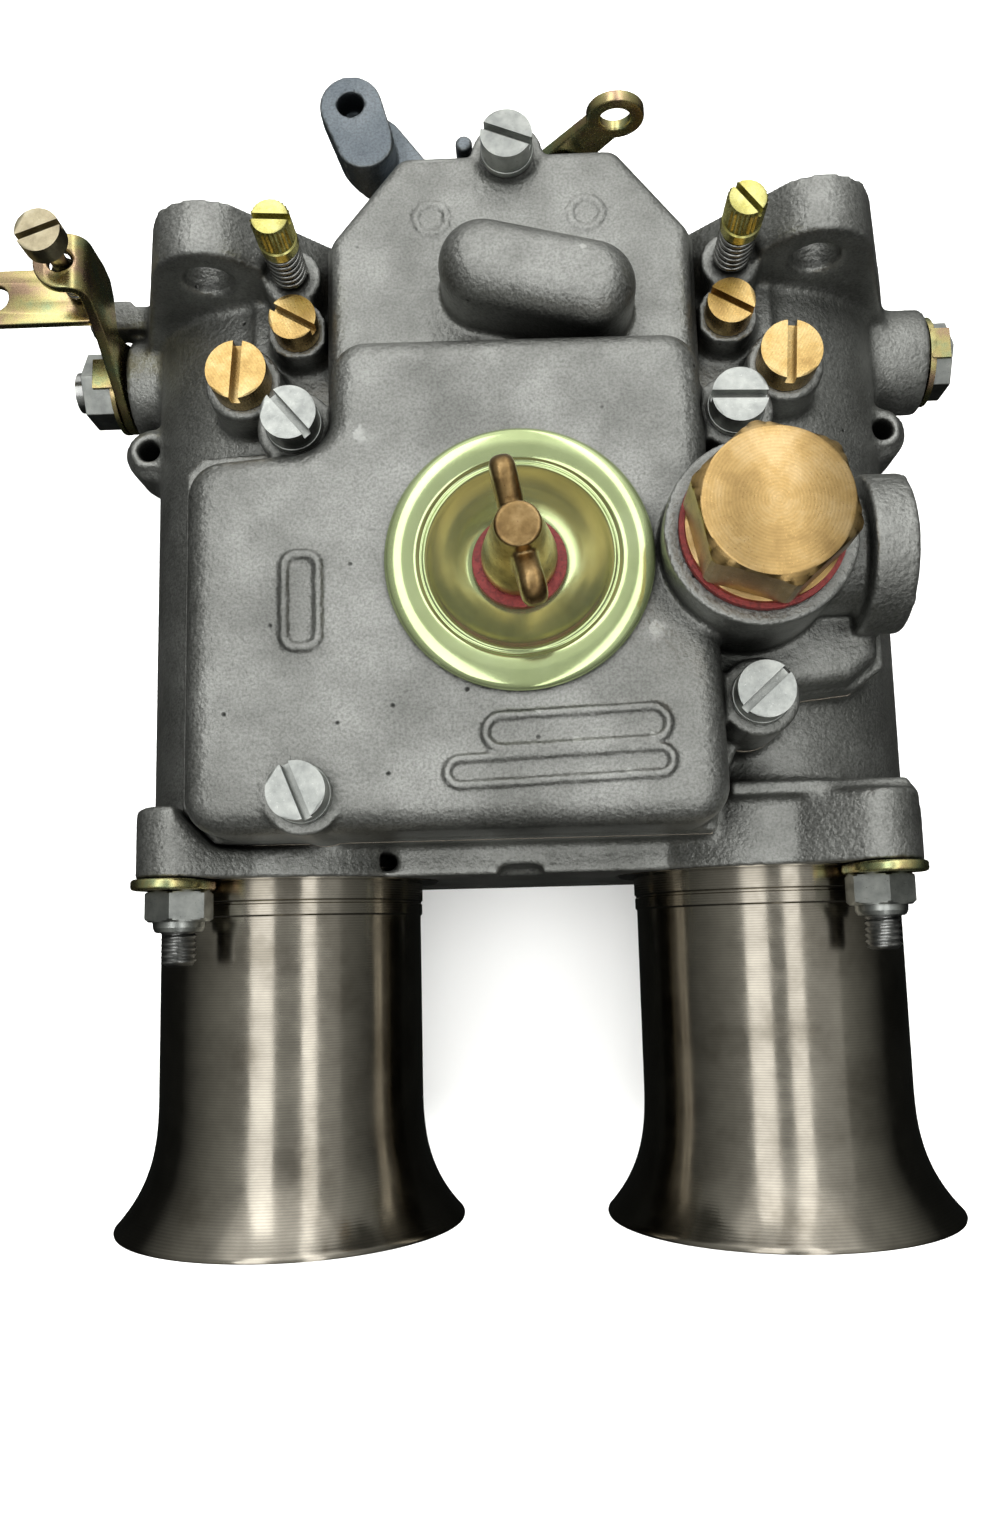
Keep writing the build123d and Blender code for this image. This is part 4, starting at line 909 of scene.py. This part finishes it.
# ---- Starter lever ----
# A pressed steel lever on the cold-start spindle, behind the body, with an eye for the choke cable's
# clamp. It is the same thin yellow passivated plate as the throttle lever, held by a nut.
low, high = (corner * 1000 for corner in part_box("starter_lever"))
PIVOT_X, PIVOT_Z, LEVER_PLATE, EYE_R = 2.0, 2.0, 2.2, 5.4
eye_x, eye_z = high.x - EYE_R, high.z - EYE_R
lean = math.degrees(math.atan2(eye_z - PIVOT_Z, eye_x - PIVOT_X))
eye_loop = arc(eye_x, eye_z, EYE_R, lean - 138, lean + 138, 36)
eye_loop += arc(PIVOT_X, PIVOT_Z, 6.8, lean + 38, lean + 322, 36)
plate_y = low.y + 8.7 + LEVER_PLATE / 2
eye_holes = [circle(eye_x, eye_z, 2.9, 32), circle(PIVOT_X, PIVOT_Z, 2.0, 28)]
eye_plate = pressed_plate("eye", [eye_loop] + eye_holes, LEVER_PLATE, 0.4, 3)
placed(eye_plate, Matrix.Translation(millimetres(0, plate_y, 0)) @ Matrix.Rotation(math.pi / 2, 4, "X"))
smooth_faces(eye_plate, 32)
spindle_line = [(0.01, low.y), (1.98, low.y)]
spindle_line += [(1.98, y) for y in stations(low.y + 10.9, high.y - 0.3, 0.16)]
spindle_line += [(1.5, high.y), (0.01, high.y)]


def spindle_shape(angle, radius, along):
    return threaded(0.35, 0.7)(angle, radius, along) if along > plate_y + 1.5 else radius


spindle = turned_piece("spindle", (PIVOT_X, 0, PIVOT_Z), "Y", spindle_line, 28, spindle_shape, 60)
starter_plate = joined("starter_lever_plate", [eye_plate, spindle])
finished(starter_plate, yellow_zinc, "choke_lever", "zinc_yellow", "starter_lever")


# ---- Inside and behind ----
# What shows through the bores and under the lid: a ground steel shaft with brass butterfly plates, cast
# choke tubes and auxiliary venturis with machined rims, brass jets, a soldered brass float and its needle.
# Ground steel is the brightest metal here, with hardly any grain.
ground_steel = plated(
    "Ground_steel", ("#a6a7a6", "#b9bab8", "#c6c7c5"), 5.0, (0.16, 0.28), 0.15, 0.004, "#2b2b2a")
for node in ("throttle_shaft", "shaft_bearings", "float_pin", "needle"):
    dressed(node, ground_steel, 0.15)
# Milled brass keeps a satin gloss; the float's thin brass has dulled, and is grey where it is soldered.
sheet_brass = plated(
    "Milled_sheet_brass", ("#a3803f", "#bd9852", "#cfac66"), 8.0, (0.24, 0.38), 0.4, 0.006, "#35270f")
for node in ("throttle_plate_left", "throttle_plate_right", "throttle_plate_screws", "pump_rod",
             "main_jet_stacks", "idle_jets", "starter_valve_left", "starter_valve_right",
             "needle_valve_seat"):
    dressed(node, sheet_brass, 0.12)
dull_brass = plated(
    "Soldered_dull_brass", ("#8a6f3b", "#a58a4f", "#a3a08f"), 6.0, (0.35, 0.5), 0.6, 0.02, "#2e2410")
dressed("float", dull_brass, 0.3)
# The venturis are bored smooth, and greyer than the steel.
machined_alloy = plated(
    "Machined_cast_alloy", ("#8f908c", "#a5a6a2", "#b5b6b2"), 6.0, (0.3, 0.45), 0.5, 0.015, "#30302e")
for node in ("main_venturi_left", "main_venturi_right", "aux_venturi_left", "aux_venturi_right"):
    dressed(node, machined_alloy, 0.25)
dressed("venturi_screws", bright_zinc)


def gauze():
    """Woven brass wire gauze: a fine square mesh, bright on the wires, with painted shade darkening the gaps
    between them.
    """
    material, shader = new_material("Woven_brass_gauze")
    # The real wires are 0.2 mm apart; they are drawn 0.6 mm apart so that they show.
    up = waves(material, 0.6, (0, 0, 0), "BANDS", "Z")
    across = waves(material, 0.6, (0, 0, 0), "BANDS", "DIAGONAL")
    wires = add(material, "ShaderNodeMath", {0: up, 1: across}, operation="MAXIMUM").outputs["Value"]
    # Painted shade: the gaps between the wires are coloured near-black.
    link(material, ramp(material, wires, ((0.4, "#2d2412"), (0.8, "#c2a05c"))), shader.inputs["Base Color"])
    shader.inputs["Metallic"].default_value = 1.0
    shader.inputs["Roughness"].default_value = 0.35
    link(material, bump(material, wires, 0.1), shader.inputs["Normal"])
    return material


dressed("fuel_filter", gauze(), 0)
